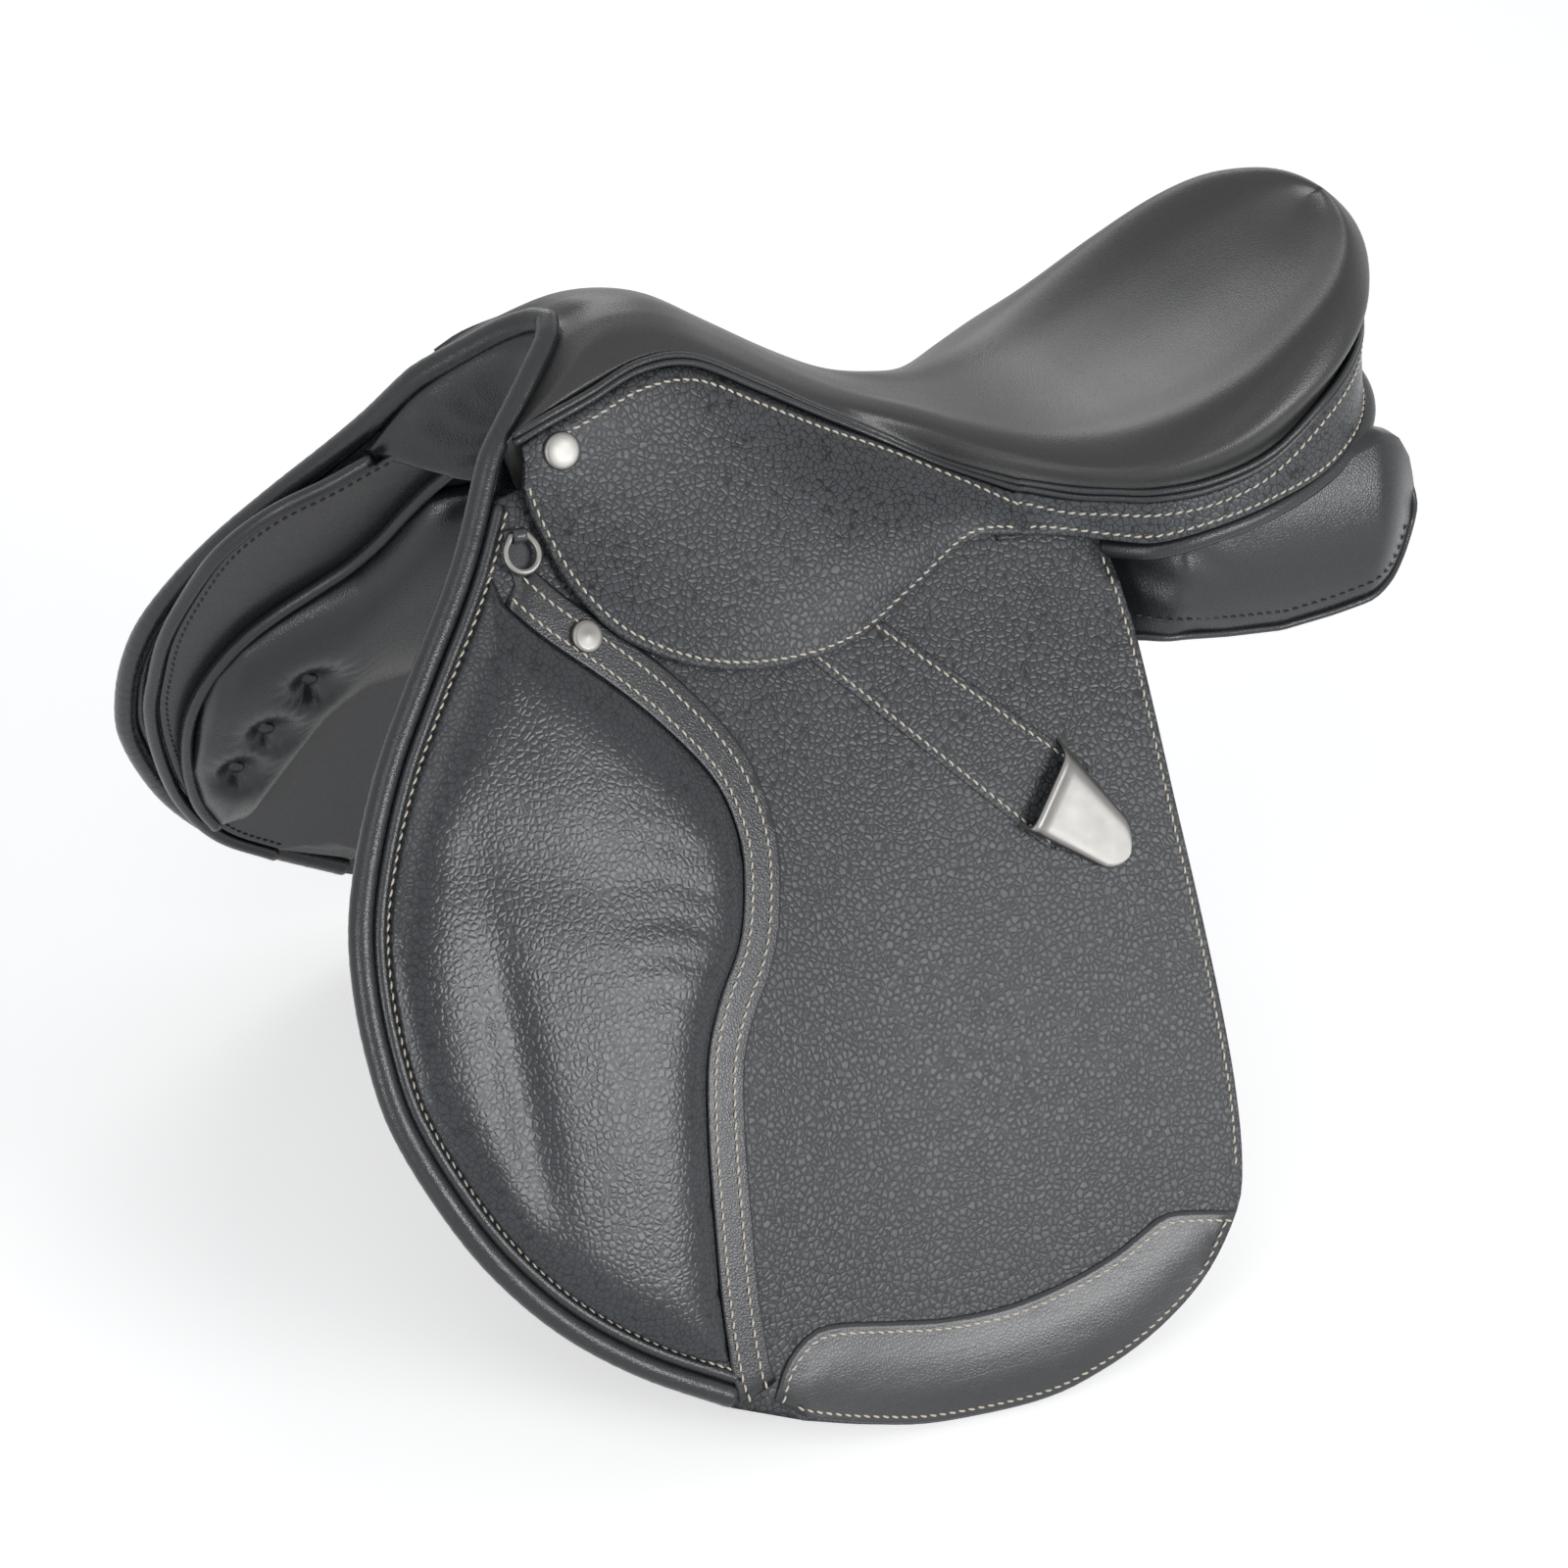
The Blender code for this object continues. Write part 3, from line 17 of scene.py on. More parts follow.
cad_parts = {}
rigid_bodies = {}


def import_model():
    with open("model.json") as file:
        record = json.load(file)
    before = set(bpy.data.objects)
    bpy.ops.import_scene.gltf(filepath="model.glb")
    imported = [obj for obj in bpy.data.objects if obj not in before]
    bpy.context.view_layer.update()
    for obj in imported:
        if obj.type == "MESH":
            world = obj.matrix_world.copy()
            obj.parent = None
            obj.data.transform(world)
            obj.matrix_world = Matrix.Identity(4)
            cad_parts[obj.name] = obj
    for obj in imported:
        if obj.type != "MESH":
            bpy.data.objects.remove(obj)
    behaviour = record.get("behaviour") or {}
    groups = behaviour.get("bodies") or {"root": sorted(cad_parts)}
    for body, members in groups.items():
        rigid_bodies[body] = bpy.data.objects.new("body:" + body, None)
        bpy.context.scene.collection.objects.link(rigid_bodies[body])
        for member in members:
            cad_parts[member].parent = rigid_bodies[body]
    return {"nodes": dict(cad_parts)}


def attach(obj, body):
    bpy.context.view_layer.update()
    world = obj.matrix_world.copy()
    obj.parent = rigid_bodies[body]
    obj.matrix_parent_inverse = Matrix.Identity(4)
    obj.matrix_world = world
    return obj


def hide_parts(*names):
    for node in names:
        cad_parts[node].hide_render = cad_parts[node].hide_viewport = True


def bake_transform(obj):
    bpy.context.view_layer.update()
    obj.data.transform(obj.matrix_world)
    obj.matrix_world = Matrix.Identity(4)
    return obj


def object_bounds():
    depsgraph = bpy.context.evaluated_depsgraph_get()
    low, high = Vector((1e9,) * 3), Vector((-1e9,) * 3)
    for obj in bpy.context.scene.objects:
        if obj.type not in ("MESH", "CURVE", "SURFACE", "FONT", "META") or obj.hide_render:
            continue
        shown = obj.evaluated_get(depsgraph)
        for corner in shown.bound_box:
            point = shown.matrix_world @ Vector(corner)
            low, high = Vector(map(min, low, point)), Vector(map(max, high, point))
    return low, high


MM = 0.001
REST_HEIGHT = 300.0
SIDES = {"near": -1.0, "off": 1.0}
MIRRORED = np.array([1.0, -1.0, 1.0])

# The side surface over the outer face of the flaps.
SPREAD_AT_HEM = 254.0
SPREAD_AT_200 = 163.0
SPREAD_AT_400 = 41.0
WAIST_INSET_TOP = 25.0
WAIST_INSET_HEM = 10.0
WAIST_STARTS_X = -200.0
WAIST_FULL_X = -30.0

# Layers, measured outwards from the flap's outer face.
FLAP_THICKNESS = 4.0
PATCH_THICKNESS = 2.4
SEAM_BAND_THICKNESS = 2.2
SEAM_BAND_WIDTH = 19.0
KNEE_PAD_CROWN = 10.0
KNEE_PAD_EDGE = 0.9
KNEE_PAD_EDGE_RUN = 24.0
KNEE_VALLEY_DEPTH = 2.6
KNEE_WAIST_DEPTH = 1.5
KNEE_RIPPLE_DEPTH = 0.28
FRONT_STITCH_FROM_EDGE = 15.6
KNEE_PAD_HEIGHTS = (40.0, 357.0)
STRIP_THICKNESS = 1.1
SWEAT_FACE = -18.9
SWEAT_FLAP_THICKNESS = 3.0
PANEL_FACE = -23.5
SKIRT_THICKNESS = 3.0
SKIRT_ROUNDING = 1.3

# Rolls, ribs, welts and piping, and where they lie.
ROLL_RADIUS = 4.5
ROLL_LEATHER_RADIUS = 5.4
SWEAT_ROLL_RADIUS = 3.5
SWEAT_ROLL_TOP = 355.0
SEAT_PIPING_RADIUS = 1.7
SEAT_PIPING_DROPS = {"upper": 2.0, "lower": 5.2}
BELOW_PIPING = 7.1
RIB_RADIUS = 3.1
RIB_FROM_EDGE = 12.3
PANEL_STRIP_RADIUS = 4.8
FRONT_WELT_RADIUS = 3.4
PANEL_PIPING_RADIUS = 1.9
ROLL_END_GAP = 1.2

# The seat's crest between middle and rim, and the tucks of its edge as steps inwards and down.
SEAT_MIDDLE = np.array([60.0, 0.0, 0.0])
SEAT_CREST_SHARE = 0.55
SEAT_CREST_RISE = 0.34
SEAT_TUCKS = [(-1.4, 1.6), (0.5, 4.5), (4.0, 14.0), (8.0, 24.0)]

# Stitches.
STITCH_PITCH = 4.9
STITCH_LENGTH = 3.5
STITCH_WIDTH = 1.15
STITCH_SLANT = 10.0
STITCH_SIDES = 6
# Share of the length, share of the width and lift of each ring of a stitch.
STITCH_PROFILE = [
    (-0.5, 0.35, -0.25), (-0.34, 0.85, 0.12), (0.0, 1.0, 0.24), (0.34, 0.85, 0.12), (0.5, 0.35, -0.25),
]
HEM_STITCH_INSET = 3.6
TOP_STITCH_INSET = 6.0
SEAM_STITCH_INSET = 4.0
PATCH_STITCH_INSET = 3.4
STRIP_STITCH_INSET = (2.0, 2.4)
FRONT_STITCH_TOP = 386.0

# Metal fittings.
NAIL_HEAD_RADIUS = 8.5
NAIL_HEAD_HEIGHT = 2.6
STUD_RADIUS = 7.5
STUD_HEIGHT = 3.4
KEEPER_MOUTH_WIDTH = 40.0
KEEPER_LENGTH = 48.0
KEEPER_TIP_RADIUS = 12.0
KEEPER_MOUTH_HEIGHT = 11.5
KEEPER_TIP_HEIGHT = 5.0
KEEPER_METAL = 1.5
DEE_WIRE_RADIUS = 1.5
DEE_WIDTH = 15.0
DEE_DROP = 16.0
DEE_TAB = [(-5.5, 3.0), (5.5, 3.0), (6.0, -20.0), (3.0, -25.0), (-4.5, -25.0)]
DISC_SIDES = 36

# The fold line on which a flap and its skirt lift.
FOLD_FRONT = np.array([-184.0, 55.0, 390.0])
FOLD_REAR = np.array([58.0, 62.0, 338.0])
BEND_ZONE = (2.0, 20.0)
BEND_TILT = math.radians(5.0)

# The seat from front to rear: each row runs from the middle plane over the rim to the welt.
SEAT_ROWS = [
    [(-142, 0, 433), (-150, 17, 429.5), (-164, 33, 418), (-180, 44.5, 408)],
    [(-125, 0, 440), (-130, 16, 438), (-138, 28, 433), (-150, 40.5, 421)],
    [(-100, 0, 436.5), (-101, 15, 434.5), (-103, 24, 431.5), (-108, 31, 427)],
    [(-70, 0, 419), (-70, 14, 417), (-69, 22, 413.5), (-67, 26, 408.5)],
    [(-35, 0, 397.5), (-35, 14, 396), (-35, 21, 393), (-34, 25, 389)],
    [(-5, 0, 382), (-5, 15, 381), (-5, 22, 378), (-4, 25, 372)],
    [(25, 0, 371), (25, 21, 371.5), (25, 31, 367), (25, 33, 357)],
    [(50, 0, 364), (50, 33, 364.5), (50, 46, 359), (50, 48, 350)],
    [(80, 0, 361), (80, 51, 362.5), (80, 69, 356.5), (80, 70, 348.5)],
    [(110, 0, 363), (110, 65, 367), (110, 86, 359), (110, 86.5, 349.5)],
    [(140, 0, 371.5), (140, 75, 378.5), (142, 94, 367), (142, 92.5, 354)],
    [(168, 0, 384), (168, 78, 394), (172, 95, 381), (171, 92, 364)],
    [(192, 0, 399), (193, 75, 411), (202, 88, 397), (199, 84, 381)],
    [(211, 0, 413.5), (214, 65, 425), (224.5, 73, 411), (221, 68, 391)],
    [(224, 0, 427), (229.5, 47, 434.5), (240, 50, 421), (236, 47, 398)],
    [(231.5, 0, 436), (238, 25, 440), (248, 26, 428), (243, 24, 402)],
    [(235, 0, 439), (242, 0, 441), (250, 0, 430), (246, 0, 403)],
]
SEAT_UNDER_ROLL = [(-147.5, 0, 432), (-156.5, 15, 426), (-174, 29.5, 411), (-188.5, 41.5, 397.5)]
# The skirt from front to rear: a point under the seat, x on the fold line, a point of the lower edge.
SKIRT_ROWS = [
    [(-184, 44, 406), -184, (-184, 55.5, 389.5)],
    [(-170, 45, 413), -172, (-180, 68, 370)],
    [(-148, 42, 420), -150, (-168, 84, 344)],
    [(-122, 35, 427), -122, (-147, 94, 322)],
    [(-95, 30, 424), -92, (-112, 97.5, 304)],
    [(-62, 27, 405.5), -62, (-73, 95, 296)],
    [(-32, 26, 387.5), -32, (-36, 90, 298.5)],
    [(0, 27, 369), 0, (-4, 81, 313)],
    [(30, 37, 353.5), 30, (30, 71, 328.5)],
    [(58, 54.5, 347.5), 58, (62, 73, 327)],
]
# The cantle band from front to rear: upper edge and lower edge.
CANTLE_BAND_ROWS = [
    [(59, 55, 347.5), (63, 73.2, 326.8)],
    [(80, 71.5, 347.5), (80, 76, 323.5)],
    [(95, 80, 348), (96, 83.5, 322)],
    [(113, 89, 349), (113, 94, 323)],
    [(140, 94, 352.5), (140, 99, 328.5)],
    [(170, 94, 362), (169, 98, 334.5)],
    [(200, 86.5, 381.5), (201, 90, 341)],
    [(223, 70, 393), (226, 75, 349)],
    [(239, 47.5, 399.5), (243, 52, 355)],
    [(246, 25, 401), (251, 27, 359)],
    [(249, 0, 402), (253, 0, 361)],
]
BAND_UNDER_SKIRT = [[(43, 42.7, 347), (45, 68.5, 325)], [(51, 48.2, 346), (54, 69.6, 324.6)]]
PANEL_STRIP = [
    (99, 68, 312), (107, 79, 314), (118, 88, 316.5), (140, 93, 322), (169, 92.5, 328), (201, 84.5, 335),
    (226, 74, 345), (243, 55, 351), (252, 30, 355), (254, 0, 357),
]
POMMEL_ROLL = [
    (-150, 0, 434), (-154.5, 10, 430.5), (-164.5, 20, 422.5), (-177, 30, 411), (-190, 40, 399),
    (-196, 45.5, 391.5),
]

# Lines on the side, as x and height.
FLAP_FRONT = [
    (-205, 384), (-216, 365.5), (-228, 348.5), (-248, 323), (-269, 294), (-285, 264), (-295, 236),
    (-298, 207), (-296, 178), (-291, 156), (-278, 127), (-259, 96), (-232, 66), (-199, 41), (-157, 17),
]
FLAP_HEM = [
    (-122, 2), (-88, -9), (-53, -17), (-3, -19), (30, -13), (61, -1), (89, 17), (109, 41),
]
FLAP_REAR = [
    (115, 60), (117, 90), (116, 125), (113, 170), (110, 210), (108, 246), (106, 277), (103, 299),
]
FLAP_TOP = [
    (98, 317), (70, 326), (40, 331), (0, 331), (-45, 331), (-70, 335), (-100, 350), (-130, 361),
    (-160, 371), (-179, 382),
]
SEAM_BAND_LEFT = [
    (-201, 343), (-187, 329), (-160, 307), (-137, 285), (-117, 260), (-110, 237), (-112, 218), (-119, 198),
    (-133, 180), (-144, 159), (-150, 128), (-153, 95), (-155, 61), (-154, 29), (-151, 17),
]
WEAR_PATCH_TOP = [
    (-135, 15), (-127, 29), (-113, 38), (-98, 38), (-71, 32), (-44, 27), (-13, 26), (17, 30), (44, 37),
    (68, 47), (82, 47), (108, 42),
]
WEAR_PATCH_HEM = [
    (87, 18), (60, 1), (29, -11), (-3, -17), (-53, -15), (-88, -7), (-120, 4),
]
SWEAT_FLAP_FRONT = {
    "near": [
        (-182, 347), (-196, 339), (-222, 318), (-255, 298), (-275, 267), (-285, 229), (-285, 192),
        (-277, 152), (-258, 105), (-236, 75), (-205, 52),
    ],
    "off": [
        (-172, 380), (-194, 368), (-215, 354), (-232, 341), (-251, 330), (-266, 316), (-278, 297),
        (-287, 267), (-292, 240), (-292, 212), (-290, 186), (-280, 150), (-263, 110), (-238, 76),
        (-205, 52),
    ],
}
SWEAT_FLAP_REST = [
    (-158, 41), (-80, 27), (0, 27), (60, 47), (88, 90), (94, 150), (90, 220), (84, 280), (70, 296),
    (0, 306), (-80, 314), (-150, 320),
]
STRIP_ENDS = [(-70, 304), (44, 201), (71, 231), (-32, 312)]
KEEPER_MOUTH_AT = (44.0, 229.0)
KEEPER_DIRECTION = (0.74, -0.67)
NAIL_AT = (-163.0, 0.5)
STUD_AT = (-167.0, 326.0)
DEE_AT = (-190.0, 366.0)

# The panel from front to rear: x, lower edge, upper edge and depth of the padding.
PANEL_ROWS = [
    (-264, 172, 198, 8), (-261, 138, 213, 14), (-252, 112, 230, 18), (-240, 92, 243, 20),
    (-228, 94, 254, 22), (-216, 125, 264, 23), (-204, 158, 275, 24), (-192, 174, 293, 24),
    (-182, 182, 322, 24), (-165, 187, 327, 24), (-140, 192, 327, 24), (-105, 200, 323, 25),
    (-65, 213, 320, 26), (-25, 230, 315, 28), (15, 245, 311, 32), (50, 255, 309, 36), (80, 263, 312, 40),
    (115, 270, 316, 50), (135, 269, 319, 56), (160, 265, 323, 58), (190, 262, 334, 58), (216, 266, 346, 54),
    (236, 271, 351, 46), (250, 277, 345, 36), (260, 286, 331, 24), (266, 298, 314, 12),
]
PANEL_FRONT_WELT = [
    (-172, 342), (-181, 327), (-188, 312), (-196, 294), (-207, 278), (-220, 266), (-236, 252), (-250, 236),
    (-261, 214), (-267, 190), (-267, 166), (-262, 138), (-253, 112), (-241, 92),
]
GUSSET_HALF_WIDTH = 94.0
CHANNEL_HALF_WIDTH = 32.0
GUSSET_STARTS_X = 100.0
GUSSET_FULL_X = 132.0
TUFTS = [(-215, 203), (-230, 169), (-240, 141)]
TUFT_DEPTH = 12.5
TUFT_SPREAD = 11.5
TUFT_GATHERS = 17
TUFT_BUTTON_RADIUS = 4.6
TUFT_BUTTON_HEIGHT = 2.6
TUFT_BUTTON_AXIS = (-0.25, -0.85, -0.43)
FACING_FRONT = [
    (-151, 0, 430), (-156, 10, 427), (-164, 18, 420), (-176, 28, 409), (-188, 38, 396), (-196, 45, 385),
    (-203, 52, 371), (-211, 61, 353),
]
FACING_BACK = [
    (-140, 0, 394), (-141, 8, 392), (-143, 14, 385), (-146, 18, 375), (-150, 22, 364), (-155, 26, 353),
    (-161, 31, 342),
]
FACING_SWELL = 9.5
FACING_PUFFS_TOWARD = np.array([-0.75, 0.0, -0.66])
FACING_ROWS = 45
FACING_COLUMNS = 29

# Leather: the warp of its grain in metres, then shares of a pebble's width, then shares of relief and colour.
# The crease shares paint shade into the creases between pebbles.
GRAIN_WARP = 0.0016
PEBBLE_ROUNDING = (0.0, 0.32)
# How far from each crease the painted crease shade reaches, as shares of a pebble's width.
CREASE_SHADE_WIDTH = (0.01, 0.11)
FINE_GRAIN_SHARE = 0.16
CREASE_SHADE_SHARE = 0.72
DRIFT_SHARE = 0.36
LIGHTEST = 1.30
SCRATCH_ZONE = (0.58, 0.72)

# The stage; each lamp has its place and size in metres and its power in watts.
WORLD_TINT = (0.93, 0.96, 1.0, 1.0)
WORLD_STRENGTH = 0.30
FLOOR_REACH = 6.0
FLOOR_DROP = 0.002
FLOOR_GREY = 0.86
FLOOR_GLOW = 0.53
WHITE = (1.0, 1.0, 1.0, 1.0)
LAMP_TARGET = (0.0, 0.0, -0.05)
LAMPS = {
    "key": ((-1.1, -1.3, 1.7), (1.0, 0.8), 6.0),
    "side": ((0.85, -2.1, 0.5), (1.1, 0.8), 27.0),
    "front": ((-2.0, -1.5, 0.35), (0.45, 1.2), 14.0),
    "back": ((0.4, 1.8, 1.3), (1.2, 0.8), 9.0),
}

# The camera, as the photograph was taken.
CAMERA_TARGET = (-26.9, 0.0, 177.9)
CAMERA_AZIMUTH = -26.39
CAMERA_ELEVATION = 30.0
CAMERA_ROLL = 2.79
CAMERA_DISTANCE = 2311.8
CAMERA_LENS = 112.3
CAMERA_SENSOR = 36.0
CAMERA_SHIFT = (0.0042, -0.0039)


def smooth_step(value):
    value = np.clip(value, 0.0, 1.0)
    return value * value * (3.0 - 2.0 * value)


def bell(value, width):
    """A smooth bump: 1 where the value is nought, falling off over the width."""
    return math.exp(-((value / width) ** 2))


def unit(vector):
    return vector / np.linalg.norm(vector)


def spread(x, height):
    """Half width of the saddle over the flap's outer face."""
    curve = (SPREAD_AT_400 - 2.0 * SPREAD_AT_200 + SPREAD_AT_HEM) / (2.0 * 200.0**2)
    slope = (SPREAD_AT_200 - SPREAD_AT_HEM) / 200.0 - curve * 200.0
    full = SPREAD_AT_HEM + slope * height + curve * height**2
    inset = WAIST_INSET_HEM + (WAIST_INSET_TOP - WAIST_INSET_HEM) * np.clip(height / 300.0, 0.0, 1.0)
    return full - inset * smooth_step((x - WAIST_STARTS_X) / (WAIST_FULL_X - WAIST_STARTS_X))


def on_flap(x, height, offset):
    return np.array([x, spread(x, height) + offset, height])


def on_side(line, offset):
    """Points over the flap's outer face along a line of x and height."""
    return np.array([on_flap(x, z, offset) for x, z in line])


def flap_normal(x, height):
    """Outward normal of the flap's face."""
    along = on_flap(x + 1.0, height, 0.0) - on_flap(x - 1.0, height, 0.0)
    upward = on_flap(x, height + 1.0, 0.0) - on_flap(x, height - 1.0, 0.0)
    normal = np.cross(upward, along)
    return unit(normal) * (1.0 if normal[1] > 0 else -1.0)


def upright_normal(x, height):
    """The flap's outward normal in the plane across the saddle."""
    out = flap_normal(x, height)
    out[0] = 0.0
    return unit(out)


def catmull(points, per_span):
    """A smooth curve through the points, with per_span steps between neighbours."""
    points = np.asarray(points, float)
    made = []
    for span in range(len(points) - 1):
        start, end = points[span], points[span + 1]
        before = points[span - 1] if span > 0 else 2.0 * start - end
        after = points[span + 2] if span + 2 < len(points) else 2.0 * end - start
        for step in range(per_span):
            t = step / per_span
            squared = (2.0 * before - 5.0 * start + 4.0 * end - after) * t**2
            cubed = (3.0 * start - before - 3.0 * end + after) * t**3
            made.append(0.5 * (2.0 * start + (end - before) * t + squared + cubed))
    made.append(points[-1])
    return np.array(made)


def distance_along(line):
    """How far along a polyline each of its points lies."""
    return np.concatenate([[0.0], np.cumsum(np.linalg.norm(np.diff(line, axis=0), axis=1))])


def at_distance(values, along, at):
    """A polyline's columns, read at one or more distances along it."""
    return np.stack([np.interp(at, along, values[:, k]) for k in range(values.shape[1])], axis=-1)


def resampled(line, spacing):
    """A polyline with points about every spacing along it."""
    line = np.asarray(line, float)
    along = distance_along(line)
    at = np.linspace(0.0, along[-1], max(2, int(round(along[-1] / spacing))) + 1)
    return at_distance(line, along, at)


def spaced(points, spacing):
    return resampled(catmull(points, 12), spacing)


def moved_in(line, distance):
    """A 2-D line moved sideways, to its left as it runs."""
    line = np.asarray(line, float)
    run = np.gradient(line, axis=0)
    run /= np.maximum(np.linalg.norm(run, axis=1), 1e-9)[:, None]
    return line + distance * np.stack([-run[:, 1], run[:, 0]], axis=1)


def edge_distance(points, outline):
    """Distance of each 2-D point from a closed outline."""
    outline = np.asarray(outline, float)
    run = np.roll(outline, -1, axis=0) - outline
    nearest = np.full(len(points), np.inf)
    for start, step in zip(outline, run):
        gap = points - start
        share = np.clip((gap @ step) / max(step @ step, 1e-9), 0.0, 1.0)
        nearest = np.minimum(nearest, np.linalg.norm(gap - share[:, None] * step, axis=1))
    return nearest


def inside(points, outline):
    """Whether each 2-D point lies in a closed outline."""
    outline = np.asarray(outline, float)
    found = np.zeros(len(points), bool)
    for start, end in zip(outline, np.roll(outline, -1, axis=0)):
        crosses = (start[1] > points[:, 1]) != (end[1] > points[:, 1])
        rise = end[1] - start[1] if abs(end[1] - start[1]) > 1e-9 else 1e-9
        at = start[0] + (points[:, 1] - start[1]) * (end[0] - start[0]) / rise
        found ^= crosses & (points[:, 0] < at)
    return found


def place(point):
    return Vector((point[0] * MM, point[1] * MM, (point[2] - REST_HEIGHT) * MM))


def add_object(name, data):
    obj = bpy.data.objects.new(name, data)
    bpy.context.scene.collection.objects.link(obj)
    return obj


def new_piece(name, points, faces, finish, side=1.0):
    """A smooth mesh object; side -1 turns a piece drawn at +y over to the near side."""
    mesh = bpy.data.meshes.new(name)
    mesh.from_pydata([place((p[0], p[1] * side, p[2])) for p in points], [],
                     [tuple(int(i) for i in face) for face in faces])
    obj = add_object(name, mesh)
    tidy = bmesh.new()
    tidy.from_mesh(mesh)
    bmesh.ops.remove_doubles(tidy, verts=tidy.verts, dist=1e-6)
    bmesh.ops.recalc_face_normals(tidy, faces=tidy.faces)
    tidy.to_mesh(mesh)
    tidy.free()
    mesh.materials.append(finish)
    mesh.shade_smooth()
    return obj


def smoothed(obj):
    modifier = obj.modifiers.new("round_form", "SUBSURF")
    modifier.levels = 1
    modifier.render_levels = 1


def strip_faces(rows, columns, closed_rows=False):
    """Quads over a grid of points; closed_rows joins each row's last point to its first."""
    faces = []
    across = columns if closed_rows else columns - 1
    for r in range(rows - 1):
        for c in range(across):
            a = r * columns + c
            b = r * columns + (c + 1) % columns
            faces.append((a, b, b + columns, a + columns))
    return faces


def circle(centre, across, up, radius, sides):
    """Points round a centre in the plane of two unit vectors."""
    return [centre + radius * (math.cos(a) * across + math.sin(a) * up)
            for a in np.arange(sides) * 2.0 * math.pi / sides]


def lofted(name, rings, finish, side=1.0, caps=(True, True)):
    """A skin over rings of points; caps says whether a flat face closes the first and the last ring."""
    rings = np.asarray(rings, float)
    rows, columns = rings.shape[:2]
    faces = strip_faces(rows, columns, closed_rows=True)
    if caps[0]:
        faces.append(tuple(range(columns))[::-1])
    if caps[1]:
        faces.append(tuple((rows - 1) * columns + k for k in range(columns)))
    made = new_piece(name, rings.reshape(-1, 3), faces, finish, side)
    for face in made.data.polygons:
        face.use_smooth = len(face.vertices) <= 4
    return made


def tube(name, path, radius, finish, sides=14, side=1.0, closed=False, swell=None, caps=(True, True)):
    """A round tube along a path, which may close on itself; swell(k) scales the radius at each point."""
    path = np.asarray(path, float)
    run = np.gradient(path, axis=0)
    if closed:
        run = np.roll(path, -1, axis=0) - np.roll(path, 1, axis=0)
    run /= np.linalg.norm(run, axis=1)[:, None]
    up = np.array([0.13, 0.31, 0.94])
    rings = []
    for k in range(len(path)):
        across = unit(np.cross(run[k], up))
        up = np.cross(across, run[k])
        size = radius * (swell(k) if swell else 1.0)
        rings.append(circle(path[k], across, up, size, sides))
    if closed:
        rings.append(rings[0])
        caps = (False, False)
    return lofted(name, rings, finish, side, caps)


def edge_round(distance, radius):
    """How far a leather face drops near a cut edge."""
    share = 1.0 - np.clip(distance / radius, 0.0, 1.0)
    return radius * (1.0 - np.sqrt(np.maximum(0.0, 1.0 - share * share)))


def plate(name, outline, outer, inner, spacing, finish, side=1.0, rounding=1.2):
    """A finely meshed sheet on the side; outer is an offset or a function of x, height and edge distance."""
    outline = np.asarray(outline, float)
    area = np.sum(outline[:, 0] * np.roll(outline[:, 1], -1) - np.roll(outline[:, 0], -1) * outline[:, 1])
    if area < 0:
        outline = outline[::-1]
    low, high = outline.min(0), outline.max(0)
    xs = np.arange(low[0] + 0.5 * spacing, high[0], spacing)
    grid = [np.stack([xs + (row % 2) * spacing * 0.5, np.full(len(xs), z)], axis=1)
            for row, z in enumerate(np.arange(low[1] + 0.5 * spacing, high[1], spacing * 0.87))]
    grid = np.vstack(grid)
    grid = grid[inside(grid, outline)]
    grid = grid[edge_distance(grid, outline) > rounding + 0.45 * spacing]
    rims = []
    for share in (0.12, 0.4, 0.75, 1.15):
        rim = moved_in(np.vstack([outline[-1:], outline, outline[:1]]), share * rounding)[1:-1]
        rims.append(rim[inside(rim, outline) & (edge_distance(rim, outline) > 0.9 * share * rounding)])
    flat = np.vstack([outline, *rims, grid])
    count = len(outline)
    edges = [(k, (k + 1) % count) for k in range(count)]
    verts, _, faces, _, _, _ = delaunay_2d_cdt([Vector(p) for p in flat], edges, [], 1, 1e-5)
    flat = np.array([tuple(v) for v in verts])
    away = edge_distance(flat, outline)
    drop = edge_round(away, rounding)
    rise = outer if callable(outer) else lambda x, z, d: outer
    upper = [on_flap(x, z, rise(x, z, d) - e) for (x, z), d, e in zip(flat, away, drop)]
    lower = [on_flap(x, z, inner + 0.3 * e) for (x, z), e in zip(flat, drop)]
    count = len(flat)
    used = set()
    for face in faces:
        for k in range(len(face)):
            used.add((face[k], face[(k + 1) % len(face)]))
    made = [tuple(face) for face in faces] + [tuple(count + i for i in reversed(face)) for face in faces]
    made += [(b, a, count + a, count + b) for a, b in used if (b, a) not in used]
    return new_piece(name, upper + lower, made, finish, side)


def stands_for(piece, node, slot):
    """Hides the node that a piece replaces, where it has one; slot is not used."""
    if node:
        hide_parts(node)


def dress(piece, body, node=None, slot=None):
    """Fastens a piece to its body."""
    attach(piece, body)
    stands_for(piece, node, slot)


